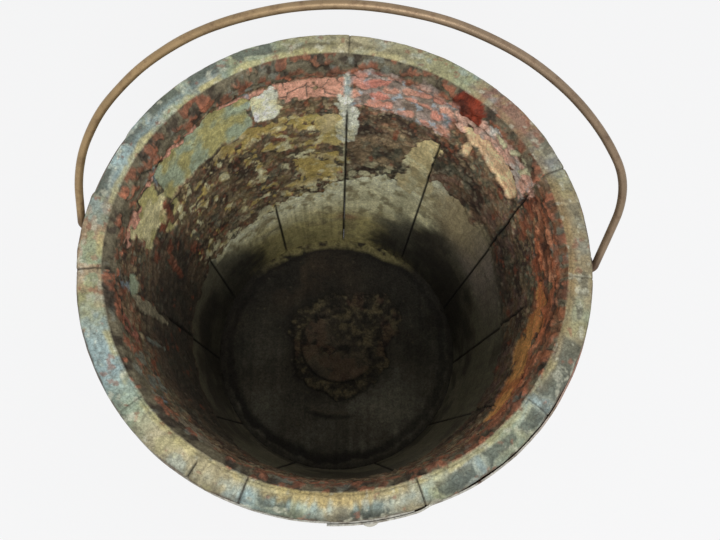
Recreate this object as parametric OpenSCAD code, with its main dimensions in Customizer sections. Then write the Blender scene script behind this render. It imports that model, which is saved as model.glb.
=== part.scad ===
// Wooden stave bucket: eleven tapered staves around a grooved-in bottom board, two iron
// hoops with riveted laps, two nailed ear plates and a bail of bare wire.
// Millimetres, +Z up. The origin is on the floor under the middle of the bucket, and the
// bail turns about a line along X. Angles run anticlockwise from +X, seen from above.

/* [Bucket] */
// Outer diameter across the rim
rim_d = 290; // [250:1:350]
// Outer diameter across the foot
foot_d = 234; // [195:1:250]
// Height of the staves
stave_h = 283; // [235:1:340]
// Thickness of a stave, measured level
stave_t = 13.8; // [11:0.1:17]
// Opening of a seam at the rim
seam_top = 0.2; // [0.1:0.05:0.6]
// Opening of a seam at the foot, where the wood has shrunk most
seam_foot = 1.0; // [0.3:0.1:1.4]
// Rounding of the rim's outer edge
rim_round = 3; // [1:0.5:5]
// Bevel of the rim's inner edge
rim_bevel = 1.5; // [0.5:0.5:3]

/* [Bottom board] */
// Thickness of the board
board_t = 14; // [10:0.5:18]
// Height of the board's underside above the floor
chime_h = 11; // [8:0.5:16]
// Depth of the groove that holds the board
croze_d = 4; // [2.5:0.5:6]

/* [Hoops] */
// Width of a hoop
hoop_w = 20; // [15:1:24]
// Thickness of the hoop iron
hoop_t = 1.2; // [0.8:0.1:2]
// Distance of the top hoop's upper edge below the rim
top_hoop_drop = 6; // [4:0.5:8]
// Height of the bottom hoop's lower edge above the floor
foot_hoop_z = 22; // [15:1:40]
// Length of the lap where a hoop's ends overlap
lap_len = 44; // [30:1:60]
// Radius of the lap rivet's head
rivet_head_r = 4.8; // [3.5:0.1:6]
// Radius of the lap rivet's shank
rivet_r = 2; // [1.5:0.1:2.8]

/* [Ears] */
// Distance of the bail's pivot line below the rim
pivot_drop = 17; // [14:0.5:21]
// Distance of the pivot line behind the middle of the bucket
pivot_y = 6.5; // [0:0.5:8]
// Thickness of an ear plate
ear_t = 1.6; // [1.2:0.1:2.2]
// Width of an ear's strap
ear_w = 18; // [14:1:20]
// Radius of the round eye at an ear's top
ear_eye_r = 9; // [7:0.5:10]
// Distance from the top hoop's lower edge to the first nail
first_nail = 10; // [8:1:14]
// Distance between an ear's two nails
nail_pitch = 16; // [12:1:20]
// Radius of a nail's head
nail_head_r = 3.6; // [2.5:0.1:4.2]
// Radius of a nail's shank
nail_r = 1.5; // [1:0.1:2]
// Depth of a nail in the wood
nail_depth = 9; // [6:0.5:10]

/* [Bail] */
// Diameter of the bail's wire
wire_d = 4.5; // [3.6:0.1:5.4]
// How much lower the crown stands over the pivot line than half the bail's span
bail_drop = 7.3; // [-20:0.1:30]
// How much the crown's radius is more than half the span
crown_flat = 17; // [14:0.5:24]
// Distance of the crown's middle to the left of the span's
crown_shift = 6.6; // [0:0.1:8]
// Radius of the tight right shoulder
right_shoulder_r = 58; // [48:1:70]
// Radius of the wide left shoulder
left_shoulder_r = 118; // [98:1:124]
// How far the right shoulder stands out past its pivot
right_bulge = 2.2; // [0:0.1:4]
// How far the left shoulder stands out past its pivot
left_bulge = -1.4; // [-2:0.1:1]
// Centreline radius of the bends into the ears
bend_r = 3.4; // [2.9:0.1:5]
// Depth of the wire's end in the wood
pin_depth = 8; // [6:0.5:9.5]
// Angle of the raised bail above level, leaning back
bail_angle = 60; // [20:1:100]

/* [Clearances] */
// Seat between pieces that lie on each other
seat = 0.1; // [0.05:0.01:0.2]
// Running clearance of the wire in an ear's hole, each side
run_fit = 0.08; // [0.03:0.01:0.1]
// Clearance round a pin where it passes wood or hoop
pass_fit = 0.4; // [0.2:0.05:0.6]
// Gap between an ear's face and the start of the wire's bend
leg_gap = 0.6; // [0.4:0.1:1]

/* [Hidden] */
$fn = 96;
// where one stave ends and the next begins
seams = [26, 60, 92, 122, 158, 190, 224, 255, 293, 325, 358];
STAVES = len(seams);
TOP_LAP = 273;
FOOT_LAP = 128;
EAR_SIDES = [1, -1];
// the staves' outer face leans out by this much for each millimetre of height
lean = (rim_d - foot_d) / 2 / stave_h;
tilt = atan(lean);
rim_r = rim_d / 2;
board_top = chime_h + board_t;
function wall_out(z) = foot_d / 2 + lean * z;
function wall_in(z) = wall_out(z) - stave_t;
groove_r = wall_in(chime_h + board_t / 2) + croze_d;

top_hoop_z = stave_h - top_hoop_drop - hoop_w;
pivot_z = stave_h - pivot_drop;
ear_angle = asin(pivot_y / wall_out(pivot_z));
// what an ear stands out from the wood over the hoop, and below it
ear_over = hoop_t + 2 * seat;
ear_face = ear_over + ear_t;
nail_z = [top_hoop_z - first_nail, top_hoop_z - first_nail - nail_pitch];
ear_foot_z = nail_z[1] - ear_w / 2;

// the bail's legs and shoulders, in its own plane: u along the pivot line, v up the bail
leg_u = wall_out(pivot_z) + ear_face + leg_gap + bend_r;
crown_r = leg_u + crown_flat;
crown_v = -bail_drop - crown_flat;
wire_trim = 0.1;
collar_step = 0.1;
pin_end = wall_out(pivot_z) - pin_depth;

function stave_name(i) = str("stave_", i < 9 ? "0" : "", i + 1);

// Puts children on the wood's outer face, with their +Z square to it and lift off it.
module on_wall(angle, z, lift = 0) {
    rotate([0, 0, angle]) translate([wall_out(z), 0, z])
        rotate([0, 90 + tilt, 0]) translate([0, 0, lift]) children();
}

// A band wrapped on the wood's outer face from z0 to z1, its inside lift off the wood.
module wrap(z0, z1, lift, t, from, sweep) {
    rotate([0, 0, from]) rotate_extrude(angle = sweep)
        polygon([[wall_out(z0) + lift, z0], [wall_out(z0) + lift + t, z0],
                 [wall_out(z1) + lift + t, z1], [wall_out(z1) + lift, z1]]);
}

// The section of a stave: rounded rim, inner bevel, the groove for the board, foot bevel.
module stave_section() {
    polygon(concat(
        [[wall_out(0), 0]],
        [for (a = [0:22.5:90]) [wall_out(stave_h - rim_round) - rim_round * (1 - cos(a)),
                                stave_h - rim_round * (1 - sin(a))]],
        [[wall_in(stave_h) + rim_bevel, stave_h], [wall_in(stave_h), stave_h - rim_bevel],
         [wall_in(board_top), board_top], [groove_r, board_top],
         [groove_r, chime_h], [wall_in(chime_h), chime_h],
         [wall_in(rim_bevel), rim_bevel], [wall_in(0) + rim_bevel, 0]]));
}

// A wedge along a seam, wider at the foot than at the rim.
module seam_gap(angle) {
    over = 1;
    rotate([0, 0, angle]) rotate([90, 0, 90])
        linear_extrude(height = rim_r + over)
            polygon([[-seam_foot / 2, -over], [seam_foot / 2, -over],
                     [seam_top / 2, stave_h + over], [-seam_top / 2, stave_h + over]]);
}

// What is drilled in the wood for one ear: the wire's end and two nails.
module ear_drilling(side) {
    ear_side(side) {
        translate([pin_end - pass_fit, pivot_y, pivot_z]) rotate([0, 90, 0])
            cylinder(r = wire_d / 2 + pass_fit, h = pin_depth + ear_face);
        for (z = nail_z)
            on_wall(ear_angle, z, -nail_depth - seat)
                cylinder(r = nail_r + seat, h = nail_depth + ear_t);
    }
}

module ear_side(side) {
    mirror([side > 0 ? 0 : 1, 0, 0]) children();
}

module stave(i) {
    next = i + 1 < STAVES ? seams[i + 1] : seams[0] + 360;
    color([0.47, 0.46, 0.40]) difference() {
        rotate([0, 0, seams[i]]) rotate_extrude(angle = next - seams[i]) stave_section();
        seam_gap(seams[i]);
        seam_gap(next);
        for (side = EAR_SIDES) ear_drilling(side);
    }
}

module bottom_board() {
    color([0.20, 0.18, 0.15]) translate([0, 0, chime_h])
        cylinder(r = groove_r - 2 * seat, h = board_t);
}

// A hoop is one strip: its outer end lies over its inner end and is riveted there. Past a
// slit it steps down to the wood. The sweeps are in degrees; nip thins the step all round.
module hoop(z, lap) {
    lap_sweep = lap_len / wall_out(z) * 180 / PI;
    slit = 1;
    step = 2;
    nip = 0.05;
    top = z + hoop_w;
    step_from = lap + lap_sweep + slit;
    color([0.52, 0.50, 0.45]) difference() {
        union() {
            wrap(z, top, seat, hoop_t, step_from + step / 3, 360 - slit - step / 3);
            wrap(z + nip, top - nip, seat + nip, 2 * (hoop_t - nip) + seat, step_from, step);
            wrap(z, top, 2 * seat + hoop_t, hoop_t, lap, lap_sweep + slit + step * 2 / 3);
        }
        on_wall(lap + lap_sweep / 2, z + hoop_w / 2)
            cylinder(r = rivet_r + seat, h = 3 * hoop_t);
        for (side = EAR_SIDES) ear_drilling(side);
    }
}

module top_hoop() { hoop(top_hoop_z, TOP_LAP); }

module bottom_hoop() { hoop(foot_hoop_z, FOOT_LAP); }

// A low domed head of radius r and height h, on the plane z = 0.
module dome_head(r, h) {
    ball_r = (r * r + h * h) / (2 * h);
    intersection() {
        translate([0, 0, h - ball_r]) sphere(r = ball_r);
        cylinder(r = 2 * r, h = 2 * h);
    }
}

// The rivet through a hoop's lap, filed flush where it meets the wood.
module lap_rivet(z, lap) {
    lap_sweep = lap_len / wall_out(z) * 180 / PI;
    head_h = 2.4;
    color([0.40, 0.36, 0.30]) on_wall(lap + lap_sweep / 2, z + hoop_w / 2, seat) {
        cylinder(r = rivet_r, h = 2 * hoop_t + seat);
        translate([0, 0, 2 * hoop_t + seat]) dome_head(rivet_head_r, head_h);
    }
}

module top_hoop_rivet() { lap_rivet(top_hoop_z, TOP_LAP); }

module bottom_hoop_rivet() { lap_rivet(foot_hoop_z, FOOT_LAP); }

// The ear's section: flat on the wood below, cranked out over the hoop above.
module ear_section() {
    crank_h = 2;
    low = top_hoop_z - seat - crank_h;
    high = top_hoop_z - seat;
    top = pivot_z + ear_eye_r + 1;
    bottom = ear_foot_z - 1;
    polygon([[wall_out(bottom) + seat, bottom], [wall_out(bottom) + seat + ear_t, bottom],
             [wall_out(low) + seat + ear_t, low], [wall_out(high) + ear_face, high],
             [wall_out(top) + ear_face, top], [wall_out(top) + ear_over, top],
             [wall_out(high) + ear_over, high], [wall_out(low) + seat, low]]);
}

// The ear's outline from the side of the bucket: a strap with a round eye and a round foot.
module ear_outline() {
    rotate([0, 0, ear_angle]) translate([rim_r / 2, 0, 0]) rotate([90, 0, 90])
        linear_extrude(height = rim_r) {
            translate([0, pivot_z]) circle(r = ear_eye_r);
            translate([-ear_w / 2, nail_z[1]]) square([ear_w, pivot_z - nail_z[1]]);
            translate([0, nail_z[1]]) circle(r = ear_w / 2);
        }
}

module ear() {
    sweep = 16;
    color([0.36, 0.33, 0.29]) difference() {
        intersection() {
            rotate([0, 0, ear_angle - sweep / 2]) rotate_extrude(angle = sweep) ear_section();
            ear_outline();
        }
        translate([wall_out(pivot_z) - 1, pivot_y, pivot_z]) rotate([0, 90, 0])
            cylinder(r = wire_d / 2 + run_fit, h = 4 * ear_face);
        for (z = nail_z)
            on_wall(ear_angle, z) cylinder(r = nail_r + seat, h = 2 * ear_t);
    }
}

module left_ear() { ear_side(-1) ear(); }

module right_ear() { ear_side(1) ear(); }

module ear_nails() {
    head_h = 1.6;
    color([0.34, 0.25, 0.19]) for (z = nail_z) on_wall(ear_angle, z) {
        translate([0, 0, -nail_depth]) cylinder(r = nail_r, h = nail_depth + 2 * seat + ear_t);
        translate([0, 0, 2 * seat + ear_t]) dome_head(nail_head_r, head_h);
    }
}

module left_ear_nails() { ear_side(-1) ear_nails(); }

module right_ear_nails() { ear_side(1) ear_nails(); }

// Stretches of wire in the bail's plane. Each stops just short of its ends, where a collar a
// hair wider than the wire takes it over to the next stretch.
module wire_arc(center, r, a, b) {
    short = wire_trim / r * 180 / PI;
    translate([center[0], center[1], 0]) rotate([0, 0, a + short])
        rotate_extrude(angle = b - a - 2 * short) translate([r, 0]) circle(d = wire_d);
}

module wire_line(p, q) {
    d = q - p;
    translate([p[0], p[1], 0]) rotate([0, 0, atan2(d[1], d[0])]) rotate([0, 90, 0])
        translate([0, 0, wire_trim]) cylinder(d = wire_d, h = norm(d) - 2 * wire_trim);
}

module wire_collar(p, dir) {
    translate([p[0], p[1], 0]) rotate([0, 0, dir]) rotate([0, 90, 0])
        cylinder(d = wire_d + collar_step, h = 4 * wire_trim, center = true);
}

// A shoulder's centre, and the angle at which the crown gives way to that shoulder.
function shoulder_u(shoulder_r, bulge) = leg_u + bulge - shoulder_r;
function shoulder_v(shoulder_r, bulge, shift) = crown_v + sqrt(
    pow(crown_r - shoulder_r, 2) - pow(shoulder_u(shoulder_r, bulge) - shift, 2));
function crown_end(shoulder_r, bulge, shift) =
    atan2(shoulder_v(shoulder_r, bulge, shift) - crown_v,
          shoulder_u(shoulder_r, bulge) - shift);

// One side of the bail, for +u: the end in the ear, a bend, a leg and a shoulder up to the
// crown. Each joins the next on a common tangent.
module bail_side(shoulder_r, bulge, shift) {
    center = [shoulder_u(shoulder_r, bulge), shoulder_v(shoulder_r, bulge, shift)];
    turn = crown_end(shoulder_r, bulge, shift);
    shoulder_top = center + shoulder_r * [cos(turn), sin(turn)];
    foot = [leg_u, bend_r];
    back = foot - center;
    touch = atan2(back[1], back[0]) + acos(min(1, shoulder_r / norm(back)));
    leg_top = center + shoulder_r * [cos(touch), sin(touch)];
    leg_dir = atan2(leg_top[1] - foot[1], leg_top[0] - foot[0]);
    leg_foot = [leg_u - bend_r, bend_r] + bend_r * [sin(leg_dir), -cos(leg_dir)];
    wire_line([pin_end, 0], [leg_u - bend_r, 0]);
    wire_arc([leg_u - bend_r, bend_r], bend_r, -90, leg_dir - 90);
    wire_line(leg_foot, leg_top);
    wire_arc(center, shoulder_r, touch, turn);
    wire_collar([leg_u - bend_r, 0], 0);
    wire_collar(leg_foot, leg_dir);
    wire_collar(leg_top, leg_dir);
    wire_collar(shoulder_top, turn + 90);
}

module bail() {
    right_end = crown_end(right_shoulder_r, right_bulge, crown_shift);
    left_end = 180 - crown_end(left_shoulder_r, left_bulge, -crown_shift);
    color([0.50, 0.42, 0.31]) translate([0, pivot_y, pivot_z]) rotate([bail_angle, 0, 0]) {
        bail_side(right_shoulder_r, right_bulge, crown_shift);
        mirror([1, 0, 0]) bail_side(left_shoulder_r, left_bulge, -crown_shift);
        wire_arc([crown_shift, crown_v], crown_r, right_end, left_end);
    }
}

for (i = [0:STAVES - 1]) stave(i);
bottom_board();
top_hoop();
bottom_hoop();
top_hoop_rivet();
bottom_hoop_rivet();
left_ear();
right_ear();
left_ear_nails();
right_ear_nails();
bail();
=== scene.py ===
"""An old wooden stave bucket with a crust of dried paint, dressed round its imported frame.

Lengths inside the classes are millimetres unless a name says otherwise, and become metres
when a mesh is made. Angles run anticlockwise from +X, seen from above, as in the frame.
"""
import logging
import math
from dataclasses import dataclass, field, fields
from enum import Enum
from typing import Optional, Union

import bpy
import numpy as np
from mathutils import Euler, Matrix, Vector


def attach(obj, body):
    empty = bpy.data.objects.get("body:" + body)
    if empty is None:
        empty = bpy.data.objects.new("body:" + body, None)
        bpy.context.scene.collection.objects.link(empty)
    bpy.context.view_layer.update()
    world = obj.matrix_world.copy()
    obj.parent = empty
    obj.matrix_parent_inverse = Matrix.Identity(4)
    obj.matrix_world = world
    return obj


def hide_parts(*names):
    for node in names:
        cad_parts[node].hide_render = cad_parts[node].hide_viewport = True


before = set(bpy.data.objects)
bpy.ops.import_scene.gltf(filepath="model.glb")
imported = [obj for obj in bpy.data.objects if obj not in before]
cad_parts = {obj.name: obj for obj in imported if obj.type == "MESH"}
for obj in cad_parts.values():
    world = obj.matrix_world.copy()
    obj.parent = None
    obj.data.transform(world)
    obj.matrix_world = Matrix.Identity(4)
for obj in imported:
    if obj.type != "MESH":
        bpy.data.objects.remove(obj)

LOG = logging.getLogger("bucket")
MM = 0.001

# faces that meet at more than this angle show an edge between them
SHARP = math.radians(55)

# how far the bucket's frame is turned from the camera's own front, in degrees
SPIN = 4.5

Array = np.ndarray
Socket = bpy.types.NodeSocket
# what an input of a node takes: an output to link from, a number or a colour
Drive = Union[Socket, float, Array]


# --------------------------------------------------------------------------- noise

def lattice(ix: Array, iy: Array, iz: Array, seed: int) -> Array:
    """A repeatable random number from 0 to 1 at each lattice point.

    Args:
        ix, iy, iz: Whole-number coordinates.
        seed: Chooses one of many unrelated fields.

    Returns:
        One number a point.
    """
    h = (np.asarray(ix, np.int64) * 73856093) ^ (np.asarray(iy, np.int64) * 19349663)
    h = (h ^ (np.asarray(iz, np.int64) * 83492791) ^ (seed * 40503 + 977)) & 0xFFFFFFFF
    h = ((h ^ (h >> 15)) * 0x85EBCA6B) & 0xFFFFFFFF
    h = ((h ^ (h >> 13)) * 0x32B2AE35) & 0xFFFFFFFF
    h = h ^ (h >> 16)
    return (h & 0xFFFFFF) / float(0xFFFFFF)


def value_noise(x: Array, y: Array, z: Array, seed: int) -> Array:
    """Smooth noise with features about one unit across.

    Args:
        x, y, z: Coordinates.
        seed: Chooses the field.

    Returns:
        One number a point, from -1 to 1.
    """
    bx, by, bz = np.floor(x), np.floor(y), np.floor(z)
    fx, fy, fz = x - bx, y - by, z - bz
    fx, fy, fz = (f * f * (3 - 2 * f) for f in (fx, fy, fz))
    total = 0.0
    for dx in (0, 1):
        for dy in (0, 1):
            for dz in (0, 1):
                weight = ((fx if dx else 1 - fx) * (fy if dy else 1 - fy)
                          * (fz if dz else 1 - fz))
                total = total + weight * lattice(bx + dx, by + dy, bz + dz, seed)
    return total * 2 - 1


def fbm(x: Array, y: Array, z: Array, size: float, seed: int, octaves: int = 3) -> Array:
    """Layered noise, about -1 to 1.

    Args:
        x, y, z: Coordinates in millimetres.
        size: Width of the largest features, in millimetres.
        seed: Chooses the field.
        octaves: How many layers, each half the size and weight of the one before.

    Returns:
        One number a point.
    """
    total, weight, whole = 0.0, 1.0, 0.0
    for k in range(octaves):
        scale = 2.0 ** k / size
        total = total + weight * value_noise(x * scale, y * scale, z * scale, seed + 17 * k)
        whole += weight
        weight *= 0.5
    return total / whole * 1.4


def ramp(low: float, high: float, x: Array) -> Array:
    """0 at or below low, 1 at or above high, smooth between. low may be the larger."""
    t = np.clip((x - low) / (high - low), 0, 1)
    return t * t * (3 - 2 * t)


def hump(x: Array, at: float, wide: float) -> Array:
    """1 at a place, fading smoothly over about wide to either side of it."""
    return np.exp(-(((x - at) / wide) ** 2))


def bearing(angle: Array, at: float) -> Array:
    """Degrees from one angle round to others, from -180 to 180."""
    return (angle - at + 180) % 360 - 180


@dataclass(frozen=True)
class Cells:
    """Irregular cells that tile a surface, as the plates of a cracked skin of paint do.

    near is the distance to a cell's middle, gap grows from 0 at the cracks, and key and
    other are random numbers that are the same all over a cell.
    """

    near: Array
    gap: Array
    key: Array
    other: Array

    @staticmethod
    def over(u: Array, v: Array, seed: int, jitter: float = 0.85) -> "Cells":
        """Cells one unit across on a surface.

        Args:
            u, v: The surface's coordinates.
            seed: Chooses the pattern.
            jitter: How far the cells' middles stray from an even grid, 0 to 1.

        Returns:
            The cells' facts at each point.
        """
        bu, bv = np.floor(u), np.floor(v)
        near = np.full(np.shape(u), 9.0)
        second = np.full(np.shape(u), 9.0)
        key = np.zeros(np.shape(u))
        other = np.zeros(np.shape(u))
        for du in (-1, 0, 1):
            for dv in (-1, 0, 1):
                cu, cv = bu + du, bv + dv
                pu = cu + 0.5 + jitter * (lattice(cu, cv, 0 * cu, seed) - 0.5)
                pv = cv + 0.5 + jitter * (lattice(cu, cv, 0 * cu, seed + 1) - 0.5)
                far = np.hypot(pu - u, pv - v)
                closer = far < near
                second = np.where(closer, near, np.minimum(second, far))
                key = np.where(closer, lattice(cu, cv, 0 * cu, seed + 2), key)
                other = np.where(closer, lattice(cu, cv, 0 * cu, seed + 3), other)
                near = np.where(closer, far, near)
        return Cells(near, second - near, key, other)

    @property
    def whole(self) -> Array:
        """0 in the cracks between the cells, 1 away from them."""
        return ramp(0.0, 0.22, self.gap)

    def dome(self, reach: float) -> Array:
        """The height of a round top on each cell: 1 at its middle, 0 from reach out."""
        return np.sqrt(np.clip(1 - (self.near / reach) ** 2, 0, 1))


# --------------------------------------------------------------------------- colour

def tone(red: float, green: float, blue: float) -> Array:
    """A colour given as it shows on a screen, from 0 to 255, as linear light."""
    c = np.array([red, green, blue]) / 255
    return np.where(c <= 0.04045, c / 12.92, ((c + 0.055) / 1.055) ** 2.4)


def lay(under: Array, over: Array, amount: Array) -> Array:
    """Colours under with colour over laid on by amount, from 0 to 1 a point."""
    return under + (over - under) * np.clip(amount, 0, 1)[..., None]


def shade(colour: Array, by: Array) -> Array:
    """Colours made lighter or darker by a factor a point."""
    return colour * by[..., None]


@dataclass
class Face:
    """A face as it is painted: its colour and how far it stands proud, layer by layer."""

    colour: Array
    lift: Array

    @staticmethod
    def plain(colour: Array, like: Array) -> "Face":
        """A flat face of one colour, with a point for each of an array."""
        return Face(np.broadcast_to(colour, like.shape + (3,)), np.zeros(like.shape))

    def lay(self, over: Array, amount: Array) -> None:
        """Lays a colour on by amount, from 0 to 1 a point."""
        self.colour = lay(self.colour, over, amount)

    def shade(self, by: Array) -> None:
        """Makes it lighter or darker by a factor a point."""
        self.colour = shade(self.colour, by)


class Tone:
    """The colours of old paint layers, wood, dirt and iron, and of painted light and shade."""

    SOOT = tone(30, 27, 24)
    UMBER = tone(92, 76, 58)
    BROWN = tone(122, 100, 76)
    PURPLE = tone(106, 84, 76)
    SLATE = tone(88, 90, 74)
    BRICK = tone(142, 78, 54)
    RUST = tone(176, 108, 74)
    SALMON = tone(214, 160, 136)
    PINK = tone(210, 136, 118)
    WHITE = tone(226, 229, 208)
    CREAM = tone(222, 217, 174)
    SAND = tone(208, 192, 142)
    OLIVE = tone(178, 171, 114)
    SAGE = tone(162, 174, 146)
    OCHRE = tone(190, 168, 98)
    ORANGE = tone(224, 164, 96)
    BARE = tone(242, 204, 160)
    BAND = tone(182, 170, 114)
    LAVENDER = tone(142, 130, 120)
    SKY = tone(152, 176, 184)
    BLUE_GREY = tone(132, 142, 144)
    GREY = tone(120, 124, 116)
    RIM_GREEN = tone(158, 156, 118)
    RIM_RED = tone(152, 118, 102)
    TAN = tone(184, 174, 140)
    DULL_TAN = tone(158, 148, 118)
    PALE_BLUE = tone(160, 180, 178)
    OLD_WOOD = tone(96, 82, 66)

    # the thinly stained wood below the crust
    THIN_STAIN = tone(102, 99, 81)
    DAMP_STAIN = tone(64, 59, 48)
    RUBBED_CREAM = tone(156, 144, 104)
    CRUST_CRUMB = tone(112, 96, 68)
    FOOT_OLIVE = tone(120, 114, 74)
    DUST = tone(138, 134, 116)
    SANDY_WASH = tone(188, 172, 132)
    DAMP = tone(46, 42, 34)
    # painted highlight under the crust's foot
    PAINTED_HIGHLIGHT_CREAM = tone(232, 234, 204)
    RED_SMEAR = tone(138, 78, 56)

    # the crust and its flecks
    CRUST_OLIVE = tone(134, 122, 84)
    CRUST_TAN = tone(170, 150, 114)
    CRUST_WARM = tone(142, 112, 86)
    CRUST_BLACK = tone(50, 40, 34)
    CRUST_GREY = tone(136, 128, 106)
    PALE_FLECK = tone(154, 138, 104)
    RED_FLECK = tone(142, 88, 62)
    DEEP_CRUST = tone(50, 46, 38)
    DIM_CRUST = tone(62, 58, 50)
    # painted shadow under the crust's ledge
    UNDER_LEDGE = tone(46, 38, 32)
    CRUST_LIP = tone(128, 118, 96)
    DRAWN_GROOVE = tone(50, 37, 30)
    DRAWN_RIDGE = tone(204, 118, 78)
    BLUE_SPECK = tone(170, 182, 188)
    BLOCK_JOINT = tone(92, 84, 74)
    BOARD_CRUST = tone(150, 140, 92)
    FINE_CRACK = tone(28, 24, 20)

    # the lumpy band under the rim
    BED = tone(118, 110, 88)
    BED_DARK = tone(70, 61, 49)
    BED_PALE = tone(150, 156, 144)
    BED_RUST = tone(146, 92, 58)
    LUMP = tone(172, 108, 80)
    LUMP_DARK = tone(124, 84, 62)

    # the rim
    SCAB = tone(102, 108, 96)
    SCAB_EDGE = tone(196, 192, 158)
    RIM_SALMON = tone(184, 140, 114)
    INNER_LINE = tone(202, 190, 132)
    RIM_BROWN = tone(148, 128, 96)
    RIM_OCHRE = tone(196, 172, 114)
    RIM_WATER = tone(176, 196, 190)
    RIM_STAIN = tone(150, 124, 86)
    OUTER_EDGE = tone(84, 68, 52)
    RED_STREAK = tone(128, 84, 68)
    DIRT_RIDGE = tone(92, 84, 62)
    RIM_DIRT = tone(96, 90, 74)
    RUSTY_FLECK = tone(150, 98, 76)
    CHALK_FLECK = tone(210, 208, 184)
    RIM_CRACK = tone(58, 50, 40)

    # the outside
    RAW_WOOD = tone(64, 54, 44)
    DARK_WOOD = tone(70, 58, 46)
    SILVERED_WOOD = tone(128, 114, 92)
    WET_FOOT = tone(52, 46, 38)
    IRON_STAIN = tone(98, 62, 38)

    # the board, its cake of paint and the tin's mark
    BOARD = tone(54, 50, 42)
    # painted light on the board's front half
    BOARD_DUST = tone(112, 109, 95)
    BOARD_WEAR = tone(66, 58, 47)
    BOARD_BROWN = tone(74, 60, 46)
    BOARD_UNDER = tone(72, 62, 50)
    BOARD_RIDGE = tone(98, 90, 74)
    BOARD_SHADOW = tone(28, 25, 21)
    SPATTER = tone(116, 106, 84)
    CAKE = tone(66, 60, 48)
    CAKE_PALE = tone(112, 103, 78)
    CAKE_CRUMB = tone(132, 118, 86)
    CAKE_RED = tone(100, 74, 60)
    CAKE_PIT = tone(30, 27, 22)
    CAKE_EDGE = tone(20, 18, 15)
    TIN_PALE = tone(96, 87, 72)
    TIN_PINK = tone(116, 88, 70)
    TIN_DARK = tone(36, 33, 28)
    TIN_RING = tone(16, 14, 12)
    GUTTER = tone(26, 23, 20)
    FILLET = tone(160, 150, 100)
    FILLET_DARK = tone(40, 36, 30)

    # the iron
    HOOP_RUST = tone(96, 66, 46)
    HOOP_PIT = tone(58, 46, 38)
    HOOP_ORANGE = tone(136, 88, 54)
    HOOP_PAINT = tone(192, 190, 180)
    HOOP_PAINT_OLD = tone(150, 148, 138)
    HOOP_PINK = tone(158, 112, 92)
    HOOP_RUN = tone(118, 104, 84)
    BRIGHT_RUST = tone(132, 84, 52)
    WIRE = tone(134, 114, 92)
    # painted highlight on the wire's left
    WIRE_WARM = tone(160, 134, 96)
    WIRE_RUST = tone(88, 60, 42)
    WIRE_PIT = tone(70, 52, 40)
    WIRE_FOOT = tone(74, 54, 42)


# --------------------------------------------------------------------------- meshes

def sweep_mesh(name: str, grid: Array, attributes: dict[str, Array]) -> bpy.types.Object:
    """A closed solid from a grid of points, shown smooth but for its sharp edges.

    Args:
        name: The piece's name.
        grid: Points in millimetres, rows round the closed section by columns along it.
        attributes: Named colours (rows, columns, 3) or numbers (rows, columns).

    Returns:
        The new object. Its two ends are closed by one face each.
    """
    rows, cols = grid.shape[:2]
    number = np.arange(rows * cols).reshape(rows, cols)
    below = np.roll(number, -1, axis=0)
    faces = np.stack([number[:, :-1], number[:, 1:], below[:, 1:], below[:, :-1]], -1)
    mesh = bpy.data.meshes.new(name)
    ends = [number[:, 0].tolist(), number[::-1, -1].tolist()]
    mesh.from_pydata((grid.reshape(-1, 3) * MM).tolist(), [],
                     faces.reshape(-1, 4).tolist() + ends)
    for key, values in attributes.items():
        if values.ndim == 3:
            data = np.ones((rows * cols, 4))
            data[:, :3] = values.reshape(-1, 3)
            layer = mesh.attributes.new(key, "FLOAT_COLOR", "POINT")
            layer.data.foreach_set("color", data.ravel().astype(np.float32))
        else:
            layer = mesh.attributes.new(key, "FLOAT", "POINT")
            layer.data.foreach_set("value", values.ravel().astype(np.float32))
    mesh.shade_smooth()
    mesh.set_sharp_from_angle(angle=SHARP)
    mesh.update()
    piece = bpy.data.objects.new(name, mesh)
    bpy.context.scene.collection.objects.link(piece)
    return piece


# --------------------------------------------------------------------------- finishes

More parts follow.
